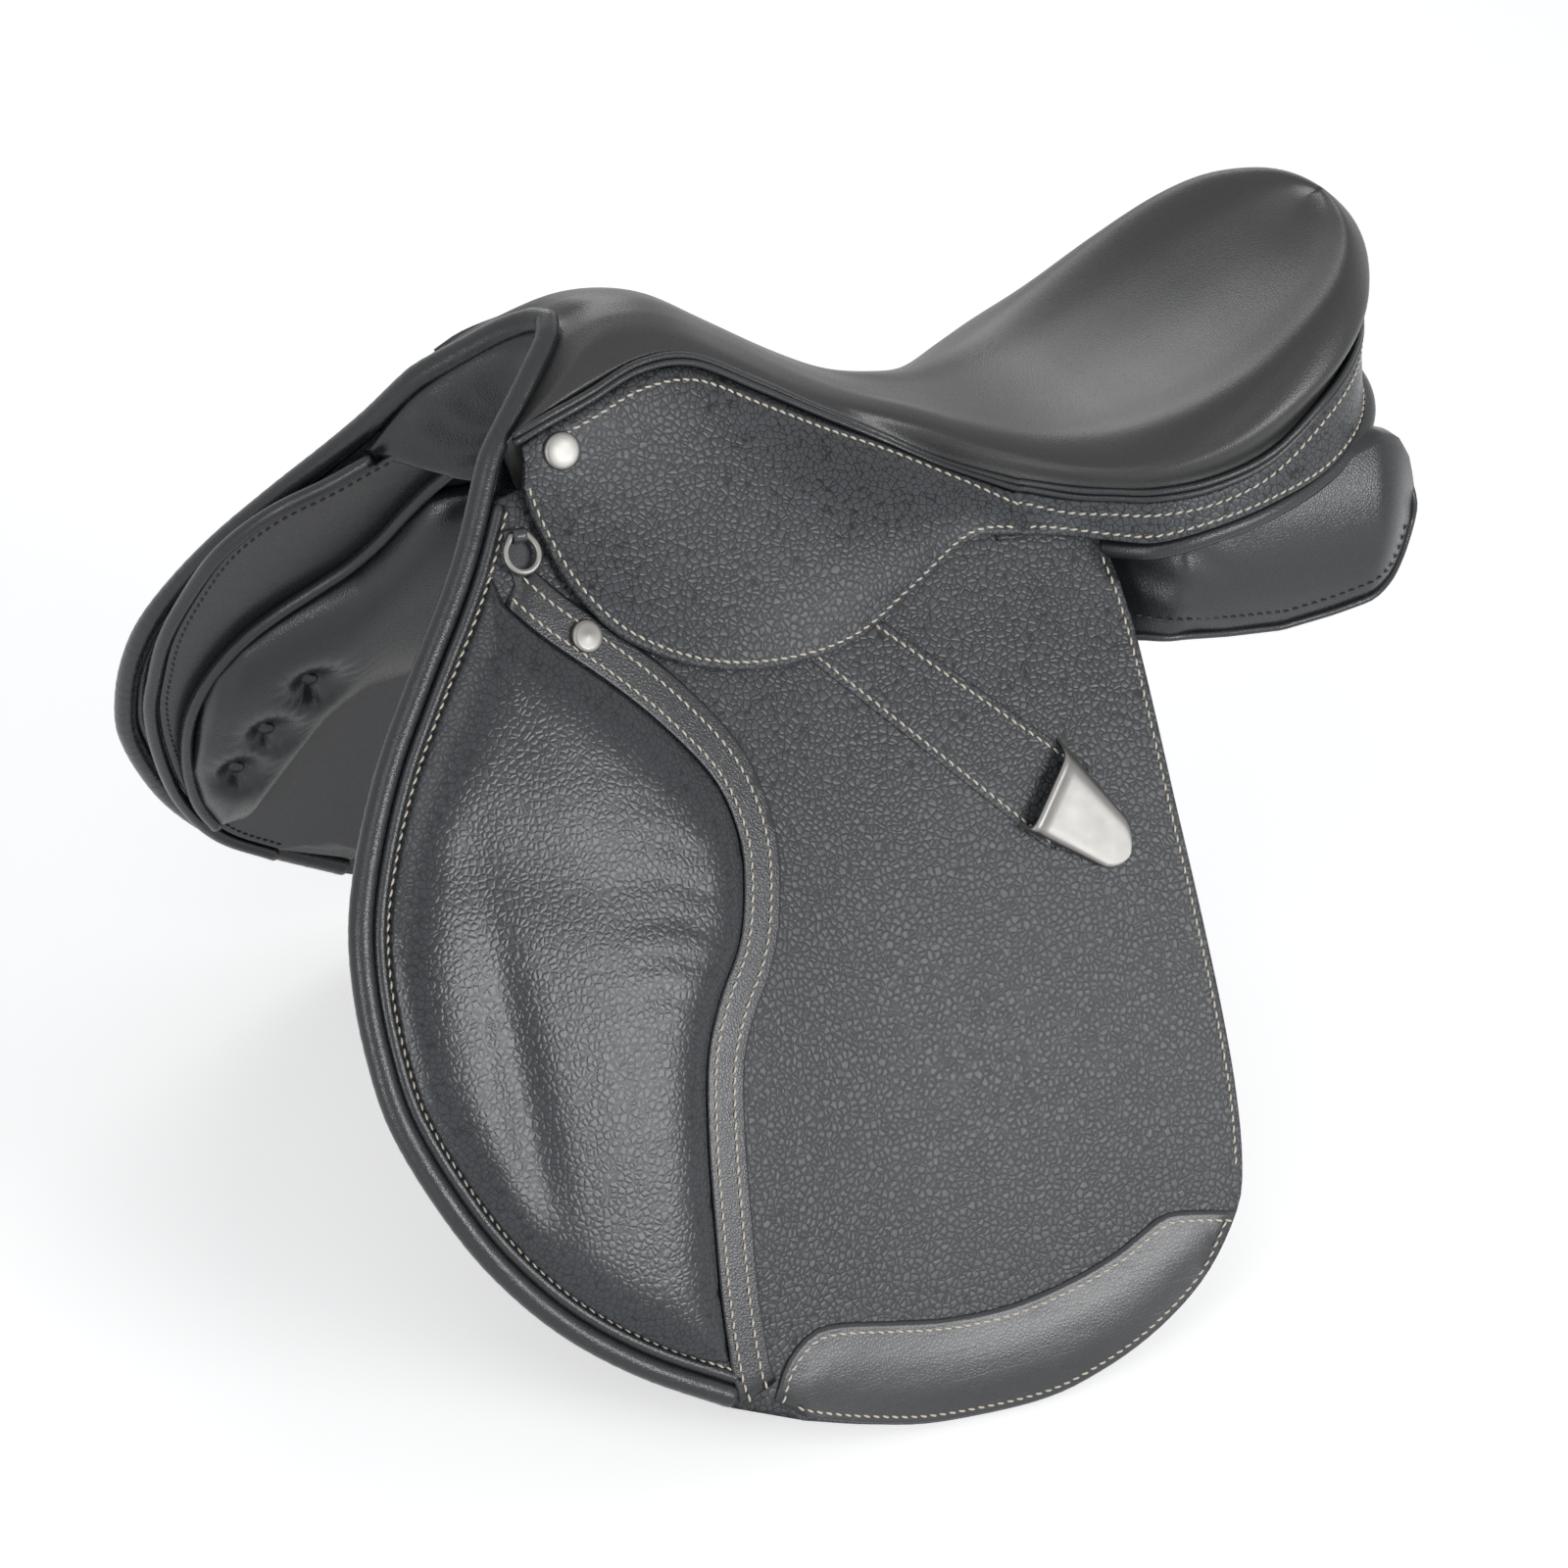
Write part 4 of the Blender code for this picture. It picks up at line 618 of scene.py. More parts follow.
def stitched(name, rows, finish, side=1.0):
    """One object of stitches; each row is a line of points and the leather's normals there."""
    points, faces = [], []
    one_stitch = strip_faces(len(STITCH_PROFILE), STITCH_SIDES, closed_rows=True)
    slant = math.tan(math.radians(STITCH_SLANT))
    for line, normals in rows:
        line = np.asarray(line, float)
        along = distance_along(line)
        for at in np.arange(0.5 * STITCH_PITCH, along[-1] - 0.4 * STITCH_PITCH, STITCH_PITCH):
            middle = at_distance(line, along, at)
            up = at_distance(normals, along, at)
            run = at_distance(line, along, at + 1.0) - middle
            run -= up * (run @ up)
            run /= max(np.linalg.norm(run), 1e-9)
            across = np.cross(up, run)
            base = len(points)
            for share, width, lift in STITCH_PROFILE:
                centre = middle + (run + across * slant) * share * STITCH_LENGTH + up * lift * STITCH_WIDTH
                points += circle(centre, across, up, 0.5 * STITCH_WIDTH * width, STITCH_SIDES)
            faces += [tuple(base + i for i in face) for face in one_stitch]
    return new_piece(name, points, faces, finish, side)


def flap_row(line, offset):
    """A row of stitches on the flap's surface along a 2-D line."""
    line = resampled(line, 2.5)
    return on_side(line, offset), np.array([flap_normal(x, z) for x, z in line])


class Nodes:
    """A short way to write a material's nodes."""

    def __init__(self, name):
        self.material = bpy.data.materials.new(name)
        self.material.use_nodes = True
        self.tree = self.material.node_tree
        self.shader = self.tree.nodes["Principled BSDF"]
        self.place = self.add("ShaderNodeTexCoord").outputs["Object"]

    def add(self, kind, settings=None, **inputs):
        node = self.tree.nodes.new(kind)
        for key, value in (settings or {}).items():
            setattr(node, key, value)
        for key, value in inputs.items():
            socket = node.inputs[int(key[1:])] if key[0] == "i" and key[1:].isdigit() else node.inputs[key]
            self.put(value, socket)
        return node

    def put(self, value, socket):
        """Links another node's output to an input, or sets the input to a plain value."""
        if isinstance(value, bpy.types.NodeSocket):
            self.tree.links.new(value, socket)
        else:
            socket.default_value = value

    def stretched(self, scale, rotation=(0.0, 0.0, 0.0)):
        """Object coordinates drawn out into streaks."""
        return self.add("ShaderNodeMapping", Vector=self.place, Rotation=rotation, Scale=scale).outputs[0]

    def math(self, operation, a, b=0.0):
        return self.add("ShaderNodeMath", {"operation": operation}, i0=a, i1=b).outputs[0]

    def noise(self, scale, detail=3.0, vector=None):
        node = self.add("ShaderNodeTexNoise", Vector=vector or self.place, Scale=scale, Detail=detail)
        return node.outputs["Fac"]

    def ramp(self, value, low, high, out_low=0.0, out_high=1.0):
        ends = {"From Min": low, "From Max": high, "To Min": out_low, "To Max": out_high}
        node = self.add("ShaderNodeMapRange", {"interpolation_type": "SMOOTHSTEP"}, Value=value, **ends)
        return node.outputs["Result"]

    def colour(self, factor, dark, light):
        node = self.add("ShaderNodeMix", {"data_type": "RGBA"})
        self.tree.links.new(factor, node.inputs["Factor"])
        node.inputs[6].default_value = (*dark, 1.0)
        node.inputs[7].default_value = (*light, 1.0)
        return node.outputs[2]

    def drive(self, name, value):
        self.put(value, self.shader.inputs[name])

    def bump(self, height, strength, distance):
        node = self.add("ShaderNodeBump", Strength=strength, Distance=distance, Height=height)
        self.tree.links.new(node.outputs["Normal"], self.shader.inputs["Normal"])


def leather(name, colour, roughness, cell, relief, crease_shade, specular=0.5, scratches=0.0, wrinkles=0.0):
    """Tanned leather: pebbles of about the cell size, creases between them painted dark as shade, over soft
    colour drift.
    """
    n = Nodes(name)
    warp = n.add("ShaderNodeTexNoise", Vector=n.place, Scale=90.0, Detail=2.0).outputs["Color"]
    warped = n.add("ShaderNodeVectorMath", {"operation": "MULTIPLY_ADD"}, i0=warp, i1=(GRAIN_WARP,) * 3,
                   i2=n.place).outputs[0]
    cells = n.add("ShaderNodeTexVoronoi", {"feature": "DISTANCE_TO_EDGE"}, Vector=warped,
                  Scale=1000.0 / cell).outputs["Distance"]
    pebble = n.ramp(cells, *PEBBLE_ROUNDING)
    outside_crease_shade = n.ramp(cells, *CREASE_SHADE_WIDTH)
    fine = n.noise(2600.0 / cell, 4.0)
    drift = n.noise(14.0, 3.0)
    height = n.math("ADD", pebble, n.math("MULTIPLY", fine, FINE_GRAIN_SHARE))
    if wrinkles > 0.0:
        weight = n.add("ShaderNodeAttribute", {"attribute_name": "wrinkle"}).outputs["Fac"]
        folds = n.noise(1.0, 3.0, n.stretched((55.0, 55.0, 330.0)))
        height = n.math("ADD", height, n.math("MULTIPLY", n.math("MULTIPLY", folds, weight), wrinkles))
    if scratches > 0.0:
        lines = n.stretched((30.0, 700.0, 900.0), rotation=(0.2, 0.5, 0.3))
        scratch = n.ramp(n.noise(1.0, 4.0, lines), *SCRATCH_ZONE)
        height = n.math("SUBTRACT", height, n.math("MULTIPLY", scratch, scratches))
    # The creases' darker colour is painted shade; the pebbles between them keep the leather's own tone.
    dark = tuple((1.0 - crease_shade) * c for c in colour)
    light = tuple(LIGHTEST * c for c in colour)
    shade = n.math("ADD", n.math("MULTIPLY", outside_crease_shade, CREASE_SHADE_SHARE), n.math("MULTIPLY", drift, DRIFT_SHARE))
    n.drive("Base Color", n.colour(shade, dark, light))
    n.drive("Roughness", n.ramp(n.math("ADD", n.math("MULTIPLY", outside_crease_shade, -0.5), drift), -0.3, 0.9,
                                roughness - 0.05, roughness + 0.10))
    n.drive("Specular IOR Level", specular)
    n.bump(height, 1.0, relief * MM)
    return n.material


def metal(name, colour, roughness, brushed):
    n = Nodes(name)
    grain = n.noise(1.0, 2.0, n.stretched((60.0, 2600.0, 2600.0)))
    smudge = n.noise(120.0, 3.0)
    n.drive("Base Color", n.colour(smudge, tuple(0.93 * c for c in colour), colour))
    n.drive("Metallic", 1.0)
    n.drive("Roughness", n.ramp(n.math("ADD", n.math("MULTIPLY", grain, brushed), smudge), 0.2, 1.3,
                                roughness, roughness + 0.14))
    n.bump(grain, 0.25, 0.03 * MM)
    return n.material


def thread(name, colour):
    n = Nodes(name)
    twist = n.add("ShaderNodeTexWave", {"bands_direction": "DIAGONAL"}, Vector=n.place, Scale=420.0,
                  Distortion=1.5).outputs["Fac"]
    n.drive("Base Color", n.colour(twist, tuple(0.72 * c for c in colour), colour))
    n.drive("Roughness", 0.62)
    n.bump(twist, 0.5, 0.12 * MM)
    return n.material


def plain(name, dark, light, roughness, scale, relief):
    """Moulded, woven or foamed matter whose colour and relief follow one noise."""
    n = Nodes(name)
    noise = n.noise(scale, 4.0)
    n.drive("Base Color", n.colour(noise, dark, light))
    n.drive("Roughness", roughness)
    n.bump(noise, 0.6, relief * MM)
    return n.material


def webbing(name):
    n = Nodes(name)
    weave = n.add("ShaderNodeTexChecker", Vector=n.place, Scale=900.0).outputs["Fac"]
    noise = n.noise(700.0, 3.0)
    n.drive("Base Color", n.colour(n.math("ADD", n.math("MULTIPLY", weave, 0.5), noise), (0.10, 0.095, 0.085),
                                   (0.30, 0.28, 0.25)))
    n.drive("Roughness", 0.8)
    n.bump(weave, 0.6, 0.25 * MM)
    return n.material


def seat_grid(rows_per_span, steps_per_span):
    """The seat's outer face as rows from the middle plane out to the welt."""
    rows = np.asarray([SEAT_UNDER_ROLL] + SEAT_ROWS, float)
    round_cantle = np.concatenate([rows, rows[-2:-3:-1] * MIRRORED])
    count = (len(rows) - 1) * rows_per_span + 1
    lines = np.stack([catmull(round_cantle[:, k], rows_per_span)[:count] for k in range(4)], axis=1)
    grid = []
    for middle, rim, widest, welt in lines:
        crest = middle + (rim - middle) * SEAT_CREST_SHARE
        crest[2] = middle[2] + (rim[2] - middle[2]) * SEAT_CREST_RISE
        section = catmull([crest * MIRRORED, middle, crest, rim, widest, welt], steps_per_span)
        grid.append(section[steps_per_span:])
    return np.array(grid)


def with_mirror(grid, axis):
    """A grid that runs outwards from the middle plane along an axis, with its mirror image put before it."""
    inwards = [slice(None)] * grid.ndim
    inwards[axis] = slice(None, 0, -1)
    return np.concatenate([grid[tuple(inwards)] * MIRRORED, grid], axis=axis)


def make_seat(finish):
    grid = with_mirror(seat_grid(4, 5), 1)
    rows, columns = grid.shape[:2]
    points = list(grid.reshape(-1, 3))
    faces = strip_faces(rows, columns)
    rim = list(range(columns))
    border = [(0, c) for c in rim] + [(r, columns - 1) for r in range(1, rows)]
    border += [(rows - 1, c) for c in rim[-2::-1]] + [(r, 0) for r in range(rows - 2, 0, -1)]
    edge = [r * columns + c for r, c in border]
    for inset, down in SEAT_TUCKS:
        start = len(points)
        for r, c in border:
            inward = (SEAT_MIDDLE - grid[r, c]) * (1.0, 1.0, 0.0)
            points.append(grid[r, c] + inward / max(np.linalg.norm(inward), 1e-9) * inset - (0.0, 0.0, down))
        tucked = [start + k for k in range(len(border))]
        faces += [(edge[k - 1], edge[k], tucked[k], tucked[k - 1]) for k in range(len(border))]
        edge = tucked
    seat = new_piece("seat", points, faces, finish)
    smoothed(seat)
    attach(seat, "saddle")
    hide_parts("seat_cover", "seat_foam")


def fold_point(x):
    share = (x - FOLD_FRONT[0]) / (FOLD_REAR[0] - FOLD_FRONT[0])
    return FOLD_FRONT + (FOLD_REAR - FOLD_FRONT) * share


def skirt_curve(top, fold, bottom, share):
    """The section through welt, fold and lower edge; share is 0 to 1 above the fold, 1 to 2 below it."""
    upper = np.linalg.norm(fold - top)
    lower = np.linalg.norm(bottom - fold)
    middle = upper / (upper + lower)
    t = middle * share if share <= 1.0 else middle + (1.0 - middle) * (share - 1.0)
    a = (t - middle) * (t - 1.0) / middle
    b = t * (t - 1.0) / (middle * (middle - 1.0))
    c = t * (t - middle) / (1.0 - middle)
    return a * top + b * fold + c * bottom


def make_piping(finish):
    sections = [(row[0], fold_point(row[1])) for row in SKIRT_ROWS] + CANTLE_BAND_ROWS
    for name, drop in SEAT_PIPING_DROPS.items():
        path = [np.asarray(top, float) + unit(np.subtract(below, top)) * drop for top, below in sections]
        path = spaced(path[::-1], 5.0)
        path[0, 1] = 0.0
        path = with_mirror(path, 0) * MIRRORED
        piping = tube(f"seat_piping_{name}", path, SEAT_PIPING_RADIUS, finish, sides=12)
        dress(piping, "saddle", "seat_welt" if name == "upper" else None, "soft_leather")


def sheet_normals(outer):
    """Normals of a sheet's outer face, turned away from the middle of the saddle."""
    across = np.gradient(outer, axis=1)
    along = np.gradient(outer, axis=0)
    normal = np.cross(along, across)
    normal /= np.maximum(np.linalg.norm(normal, axis=2), 1e-9)[:, :, None]
    away = outer.copy()
    away[:, :, 0] -= np.clip(outer[:, :, 0], -150.0, 190.0)
    away[:, :, 2] = 60.0
    normal[(normal * away).sum(2) < 0] *= -1.0
    return normal


def edge_steps(count, near_start, near_end, length):
    """Shares from 0 to 1 with extra steps close to each cut edge of a sheet of that length."""
    close = np.array([0.15, 0.5, 1.0, 1.6]) / length
    steps = np.linspace(0.0, 1.0, count)
    if near_start:
        steps = steps[(steps == 0.0) | (steps > close[-1] * 1.4)]
        steps = np.concatenate([steps, close])
    if near_end:
        steps = steps[(steps == 1.0) | (steps < 1.0 - close[-1] * 1.4)]
        steps = np.concatenate([steps, 1.0 - close])
    return np.unique(steps)


def skirt_grid():
    """The skirt's outer face: rows from front to rear, each from the welt over the fold to the lower edge."""
    per_span = 6
    top = catmull([row[0] for row in SKIRT_ROWS], per_span)
    fold_x = catmull([(row[1], 0.0) for row in SKIRT_ROWS], per_span)[:, 0]
    bottom = catmull([row[2] for row in SKIRT_ROWS], per_span)
    upper_steps = np.linspace(0.0, 1.0, 9)
    lower_steps = 1.0 + edge_steps(14, False, True, 60.0)[1:]
    grid = []
    for t, x, b in zip(top[1:], fold_x[1:], bottom[1:]):
        f = fold_point(x)
        start = min(0.6, BELOW_PIPING / np.linalg.norm(f - t))
        steps = np.concatenate([start + (1.0 - start) * upper_steps, lower_steps])
        grid.append([skirt_curve(t, f, b, s) for s in steps])
    return np.array(grid), len(upper_steps) - 1


def sheet_body(outer, thickness, rounding):
    """A sheet's outer face with rounded edges, its inner face and its normals."""
    normal = sheet_normals(outer)
    steps = np.linalg.norm(np.diff(outer, axis=1), axis=2)
    from_top = np.concatenate([np.zeros((len(outer), 1)), np.cumsum(steps, axis=1)], axis=1)
    to_bottom = from_top[:, -1:] - from_top
    drop = edge_round(np.minimum(from_top, to_bottom), rounding)
    face = outer - normal * drop[:, :, None]
    back = outer - normal * (thickness - 0.4 * drop)[:, :, None]
    return face, back, normal


def make_skirts(finish, yarn):
    grid, fold_column = skirt_grid()
    face, back, normal = sheet_body(grid, SKIRT_THICKNESS, SKIRT_ROUNDING)
    rows, columns = grid.shape[:2]
    rings = np.concatenate([face, back[:, ::-1]], axis=1)
    ring = 2 * columns
    flat = rings.reshape(-1, 3)
    faces = strip_faces(rows, ring, closed_rows=True)
    for name, side in SIDES.items():
        whole = new_piece(f"{name}_skirt_whole", flat, faces, finish, side)
        normals = [tuple(v.normal) for v in whole.data.vertices]
        above = part_of(whole, f"{name}_skirt_upper", normals,
                        lambda c: c <= fold_column or c >= ring - 1 - fold_column, ring)
        below = part_of(whole, f"{name}_skirt_tongue", normals,
                        lambda c: fold_column <= c <= ring - 1 - fold_column, ring)
        bpy.data.objects.remove(whole)
        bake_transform(above)
        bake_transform(below)
        stands_for(above, f"{name}_skirt_top", "grain_leather")
        stands_for(below, f"{name}_skirt", "grain_leather")
        lower = np.array([inset_point(row, HEM_STITCH_INSET) for row in grid[1:-1]])
        hem = stitched(f"{name}_skirt_hem_stitches", [(lower, normal[1:-1, -1])], yarn, side)
        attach(hem, f"{name}_skirt")
        upper = np.array([inset_point(grid[r, ::-1], TOP_STITCH_INSET) for r in range(6, rows)])
        top = stitched(f"{name}_skirt_top_stitches", [(upper, normal[6:, 2])], yarn, side)
        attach(top, "saddle")


def inset_point(row, distance):
    """The point of a row at that distance from its last point."""
    back = row[::-1]
    return at_distance(back, distance_along(back), distance)


def part_of(whole, name, normals, keep, ring):
    """Some columns of a ringed mesh with the whole mesh's normals, so two parts join without a crease."""
    mesh = whole.data
    chosen = [p for p in mesh.polygons if all(keep(v % ring) for v in p.vertices)]
    used = sorted({v for p in chosen for v in p.vertices})
    index = {v: k for k, v in enumerate(used)}
    made = bpy.data.meshes.new(name)
    made.from_pydata([mesh.vertices[v].co for v in used], [],
                     [[index[v] for v in p.vertices] for p in chosen])
    made.materials.append(mesh.materials[0])
    made.shade_smooth()
    made.normals_split_custom_set_from_vertices([normals[v] for v in used])
    return add_object(name, made)


def make_cantle_band(finish, yarn):
    sections = BAND_UNDER_SKIRT + CANTLE_BAND_ROWS
    top = catmull([row[0] for row in sections], 5)
    bottom = catmull([row[1] for row in sections], 5)
    grid = []
    for t, b in zip(top, bottom):
        length = np.linalg.norm(b - t)
        start = BELOW_PIPING / length
        steps = start + (1.0 - start) * edge_steps(8, True, True, length)[:17]
        grid.append([t + (b - t) * s for s in steps])
    width = min(len(row) for row in grid)
    grid = np.array([row[:width - 1] + [row[-1]] for row in grid])
    grid = np.concatenate([grid, grid[-2::-1] * MIRRORED], axis=0)
    face, back, normal = sheet_body(grid, SKIRT_THICKNESS, SKIRT_ROUNDING)
    band = lofted("cantle_band_leather", np.concatenate([face, back[:, ::-1]], axis=1), finish)
    dress(band, "saddle", "cantle_band", "grain_leather")
    rows = []
    for inset, from_top in ((HEM_STITCH_INSET, False), (TOP_STITCH_INSET, True)):
        line = np.array([inset_point(row[::-1] if from_top else row, inset) for row in grid])
        rows.append((line, normal[:, 2 if from_top else -3]))
    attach(stitched("cantle_band_stitches", rows, yarn), "saddle")


def bend_at_fold(piece, name, side):
    """Finds the ends of the bend zone below the fold line without using them, and bakes the piece's transform
    into its mesh.
    """
    run = unit((FOLD_REAR - FOLD_FRONT) * (1.0, 0.0, 1.0))
    down = np.array([run[2], 0.0, -run[0]])
    toward = down * math.cos(BEND_TILT) - run * math.sin(BEND_TILT)
    start, end = [(FOLD_FRONT + toward * away) * (1.0, side, 1.0) for away in BEND_ZONE]
    place(start)
    place(end)
    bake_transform(piece)


def make_rolls(finish):
    line = spaced(FLAP_FRONT, 12.0)
    side_path = on_side(moved_in(line, ROLL_RADIUS), -0.5 * FLAP_THICKNESS)
    whole = spaced(np.vstack([POMMEL_ROLL, side_path[1:]]), 1.7)
    split = int(np.argmin(np.linalg.norm(whole - POMMEL_ROLL[-1], axis=1)))
    rib_path = spaced(on_side(moved_in(line, RIB_FROM_EDGE), -1.0), 3.0)

    def crossed(k):
        """Faint folds that run across a bent roll."""
        k = abs(k)
        folds = 0.010 * math.sin(1.3 * k) * math.sin(0.17 * k)
        return 1.0 + folds + 0.006 * math.sin(2.1 * k + math.sin(0.4 * k))

    over_pommel = with_mirror(whole[:split + 1], 0) * MIRRORED
    centre = tube("pommel_binding", over_pommel, ROLL_LEATHER_RADIUS, finish, sides=20,
                  swell=lambda k: crossed(k - split), caps=(False, False))
    dress(centre, "saddle", "pommel_roll", "soft_leather")
    for name, side in SIDES.items():
        roll = tube(f"{name}_flap_binding", whole[split:], ROLL_LEATHER_RADIUS, finish, sides=20, side=side,
                    swell=lambda k: crossed(k + split), caps=(False, True))
        rib = tube(f"{name}_flap_rib", rib_path, RIB_RADIUS, finish, sides=12, side=side)
        for piece, node in ((roll, f"{name}_flap_roll"), (rib, None)):
            bend_at_fold(piece, name, side)
            stands_for(piece, node, "soft_leather")


def knee_pad_outer(x, z, d):
    """The knee pad's rise over the flap: two soft lobes with a shallow valley between them."""
    rise = min(d / KNEE_PAD_EDGE_RUN, 1.0)
    crown = KNEE_PAD_EDGE + (KNEE_PAD_CROWN - KNEE_PAD_EDGE) * math.sqrt(max(0.0, 1.0 - (1.0 - rise) ** 2))
    valley = bell(x + 236.0 - 0.05 * (200.0 - z), 11.0) * bell(z - 165.0, 75.0)
    waist = bell(z - 238.0 + 0.35 * (x + 180.0), 20.0)
    ripple = math.sin(0.42 * z + 0.11 * x + 1.3 * math.sin(0.09 * x)) * wrinkle_weight(x, z)
    return crown - rise * (KNEE_VALLEY_DEPTH * valley + KNEE_WAIST_DEPTH * waist - KNEE_RIPPLE_DEPTH * ripple)


def wrinkle_weight(x, z):
    """Where the knee pad's leather is drawn into fine folds beside the seam band."""
    lower = 0.45 * bell(x + 262.0, 22.0) * bell(z - 130.0, 60.0)
    return bell(x + 150.0, 26.0) * bell(z - 190.0, 70.0) + lower


def add_wrinkle_weights(obj, weight):
    """Stores how strongly the leather wrinkles; weight turns a vertex's place into that share."""
    weights = obj.data.attributes.new("wrinkle", "FLOAT", "POINT")
    for k, vertex in enumerate(obj.data.vertices):
        weights.data[k].value = weight(vertex.co)


def make_flaps(grain, smooth, pad_leather, strap, yarn):
    line = spaced(FLAP_FRONT, 7.0)
    front = moved_in(line, 2.0 * ROLL_RADIUS + 0.9)
    past_end = unit(line[-1] - line[-2]) * ROLL_END_GAP
    corner = [front[-1] + past_end, line[-1] + past_end]
    hem = spaced(FLAP_HEM + FLAP_REAR, 7.0)
    outline = np.vstack([front, corner, hem, spaced(FLAP_TOP, 8.0)])
    left = spaced(SEAM_BAND_LEFT, 6.0)
    right = moved_in(left, SEAM_BAND_WIDTH)
    band = np.vstack([left, right[::-1]])
    low, high = KNEE_PAD_HEIGHTS
    pad_front = moved_in(spaced(FLAP_FRONT, 4.0), FRONT_STITCH_FROM_EDGE + 0.4)
    pad_front = pad_front[(pad_front[:, 1] > low) & (pad_front[:, 1] < high)]
    pad_back = moved_in(left, -0.5)[::-1]
    pad_back = pad_back[(pad_back[:, 1] > low - 6.0) & (pad_back[:, 1] < high - 12.0)]
    pad = np.vstack([pad_front, pad_back])
    patch = np.vstack([spaced(WEAR_PATCH_TOP, 6.0), spaced(WEAR_PATCH_HEM, 6.0)])
    strip = resampled(np.vstack([STRIP_ENDS, STRIP_ENDS[:1]]), 6.0)[:-1]
    front_row = moved_in(line, FRONT_STITCH_FROM_EDGE)
    front_row = front_row[front_row[:, 1] < FRONT_STITCH_TOP]
    rear = spaced(FLAP_REAR + [(99, 313)], 5.0)
    band_top = SEAM_BAND_THICKNESS + 0.2
    patch_hem = spaced([(104, 38)] + WEAR_PATCH_HEM + [(-130, 10)], 4.0)
    rows = [
        flap_row(front_row, 0.35),
        flap_row(moved_in(rear, SEAM_STITCH_INSET), 0.1),
        flap_row(moved_in(left, SEAM_STITCH_INSET), band_top),
        flap_row(moved_in(left, SEAM_BAND_WIDTH - 5.5), band_top),
        flap_row(moved_in(spaced(WEAR_PATCH_TOP, 4.0), -PATCH_STITCH_INSET), PATCH_THICKNESS),
        flap_row(moved_in(patch_hem, -PATCH_STITCH_INSET), PATCH_THICKNESS),
        flap_row(resampled([STRIP_ENDS[0], STRIP_ENDS[1]], 4.0) + STRIP_STITCH_INSET, STRIP_THICKNESS),
        flap_row(resampled([STRIP_ENDS[3], STRIP_ENDS[2]], 4.0) - STRIP_STITCH_INSET, STRIP_THICKNESS),
    ]
    # Name, outline, outer face, inner face, mesh spacing, finish, rounding, node and slot of each sheet.
    sheets = [
        ("flap_leather", outline, 0.0, -FLAP_THICKNESS, 8.0, grain, 1.5, "flap", "grain_leather"),
        ("knee_pad_leather", pad, knee_pad_outer, 0.1, 4.5, pad_leather, 0.8, "knee_pad", "soft_leather"),
        ("seam_band_leather", band, SEAM_BAND_THICKNESS, 0.05, 6.0, smooth, 1.2, "seam_band",
         "grain_leather"),
        ("wear_patch_leather", patch, wear_patch_outer, 0.05, 6.0, strap, 1.6, "wear_patch", "strap_leather"),
        ("keeper_strip", strip, STRIP_THICKNESS, 0.05, 8.0, grain, 0.9, None, "grain_leather"),
    ]
    for name, side in SIDES.items():
        for kind, edge, outer, inner, spacing, finish, rounding, node, slot in sheets:
            sheet = plate(f"{name}_{kind}", edge, outer, inner, spacing, finish, side, rounding)
            if node == "flap":
                bend_at_fold(sheet, name, side)
            else:
                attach(sheet, f"{name}_flap")
            stands_for(sheet, node and f"{name}_{node}", slot)
            if node == "knee_pad":
                add_wrinkle_weights(sheet, lambda co: wrinkle_weight(co.x / MM, co.z / MM + REST_HEIGHT))
                smoothed(sheet)
        bend_at_fold(stitched(f"{name}_flap_stitches", rows, yarn, side), name, side)


def wear_patch_outer(x, z, d):
    """The patch swells a little between its edge stitches."""
    return PATCH_THICKNESS + 1.2 * smooth_step((d - 5.0) / 10.0)


def make_sweat_flaps(smooth, strap, dark_yarn):
    middle = SWEAT_FACE - 0.5 * SWEAT_FLAP_THICKNESS
    inner = SWEAT_FACE - SWEAT_FLAP_THICKNESS
    for name, side in SIDES.items():
        line = spaced(SWEAT_FLAP_FRONT[name], 8.0)
        front = moved_in(line, 2.0 * SWEAT_ROLL_RADIUS + 0.8)
        outline = np.vstack([front, spaced(SWEAT_FLAP_REST, 10.0)])
        roll_line = moved_in(line, SWEAT_ROLL_RADIUS)
        path = spaced(on_side(roll_line[roll_line[:, 1] < SWEAT_ROLL_TOP], middle), 3.5)
        seam, normals = flap_row(moved_in(line, 2.0 * SWEAT_ROLL_RADIUS + 4.0), inner)
        flap = plate(f"{name}_sweat_flap_leather", outline, SWEAT_FACE, inner, 11.0, strap, side)
        roll = tube(f"{name}_sweat_flap_binding", path, SWEAT_ROLL_RADIUS, smooth, sides=16, side=side)
        stitches = stitched(f"{name}_sweat_flap_stitches", [(seam, -normals)], dark_yarn, side)
        dress(flap, "saddle", f"{name}_sweat_flap", "strap_leather")
        dress(roll, "saddle", f"{name}_sweat_flap_roll", "soft_leather")
        dress(stitches, "saddle")


def panel_size(x):
    """The panel's lower edge, upper edge and padding depth at one x."""
    rows = np.array(PANEL_ROWS, float)
    return [np.interp(x, rows[:, 0], rows[:, k]) for k in (1, 2, 3)]


def panel_outer(x, height):
    """The panel's outer face: against the sweat flap in front, an upright gusset at the rear."""
    gusset = GUSSET_HALF_WIDTH - 9.0 * ((height - 300.0) / 38.0) ** 2
    rear_pull = 1.0 - 0.42 * smooth_step((x - 232.0) / 58.0)
    share = smooth_step((x - GUSSET_STARTS_X) / (GUSSET_FULL_X - GUSSET_STARTS_X))
    return (spread(x, height) + PANEL_FACE) * (1.0 - share) + gusset * rear_pull * share


def on_panel(line, offset):
    """Points over the panel's outer face along a line of x and height."""
    return [(x, panel_outer(x, z) + offset, z) for x, z in line]


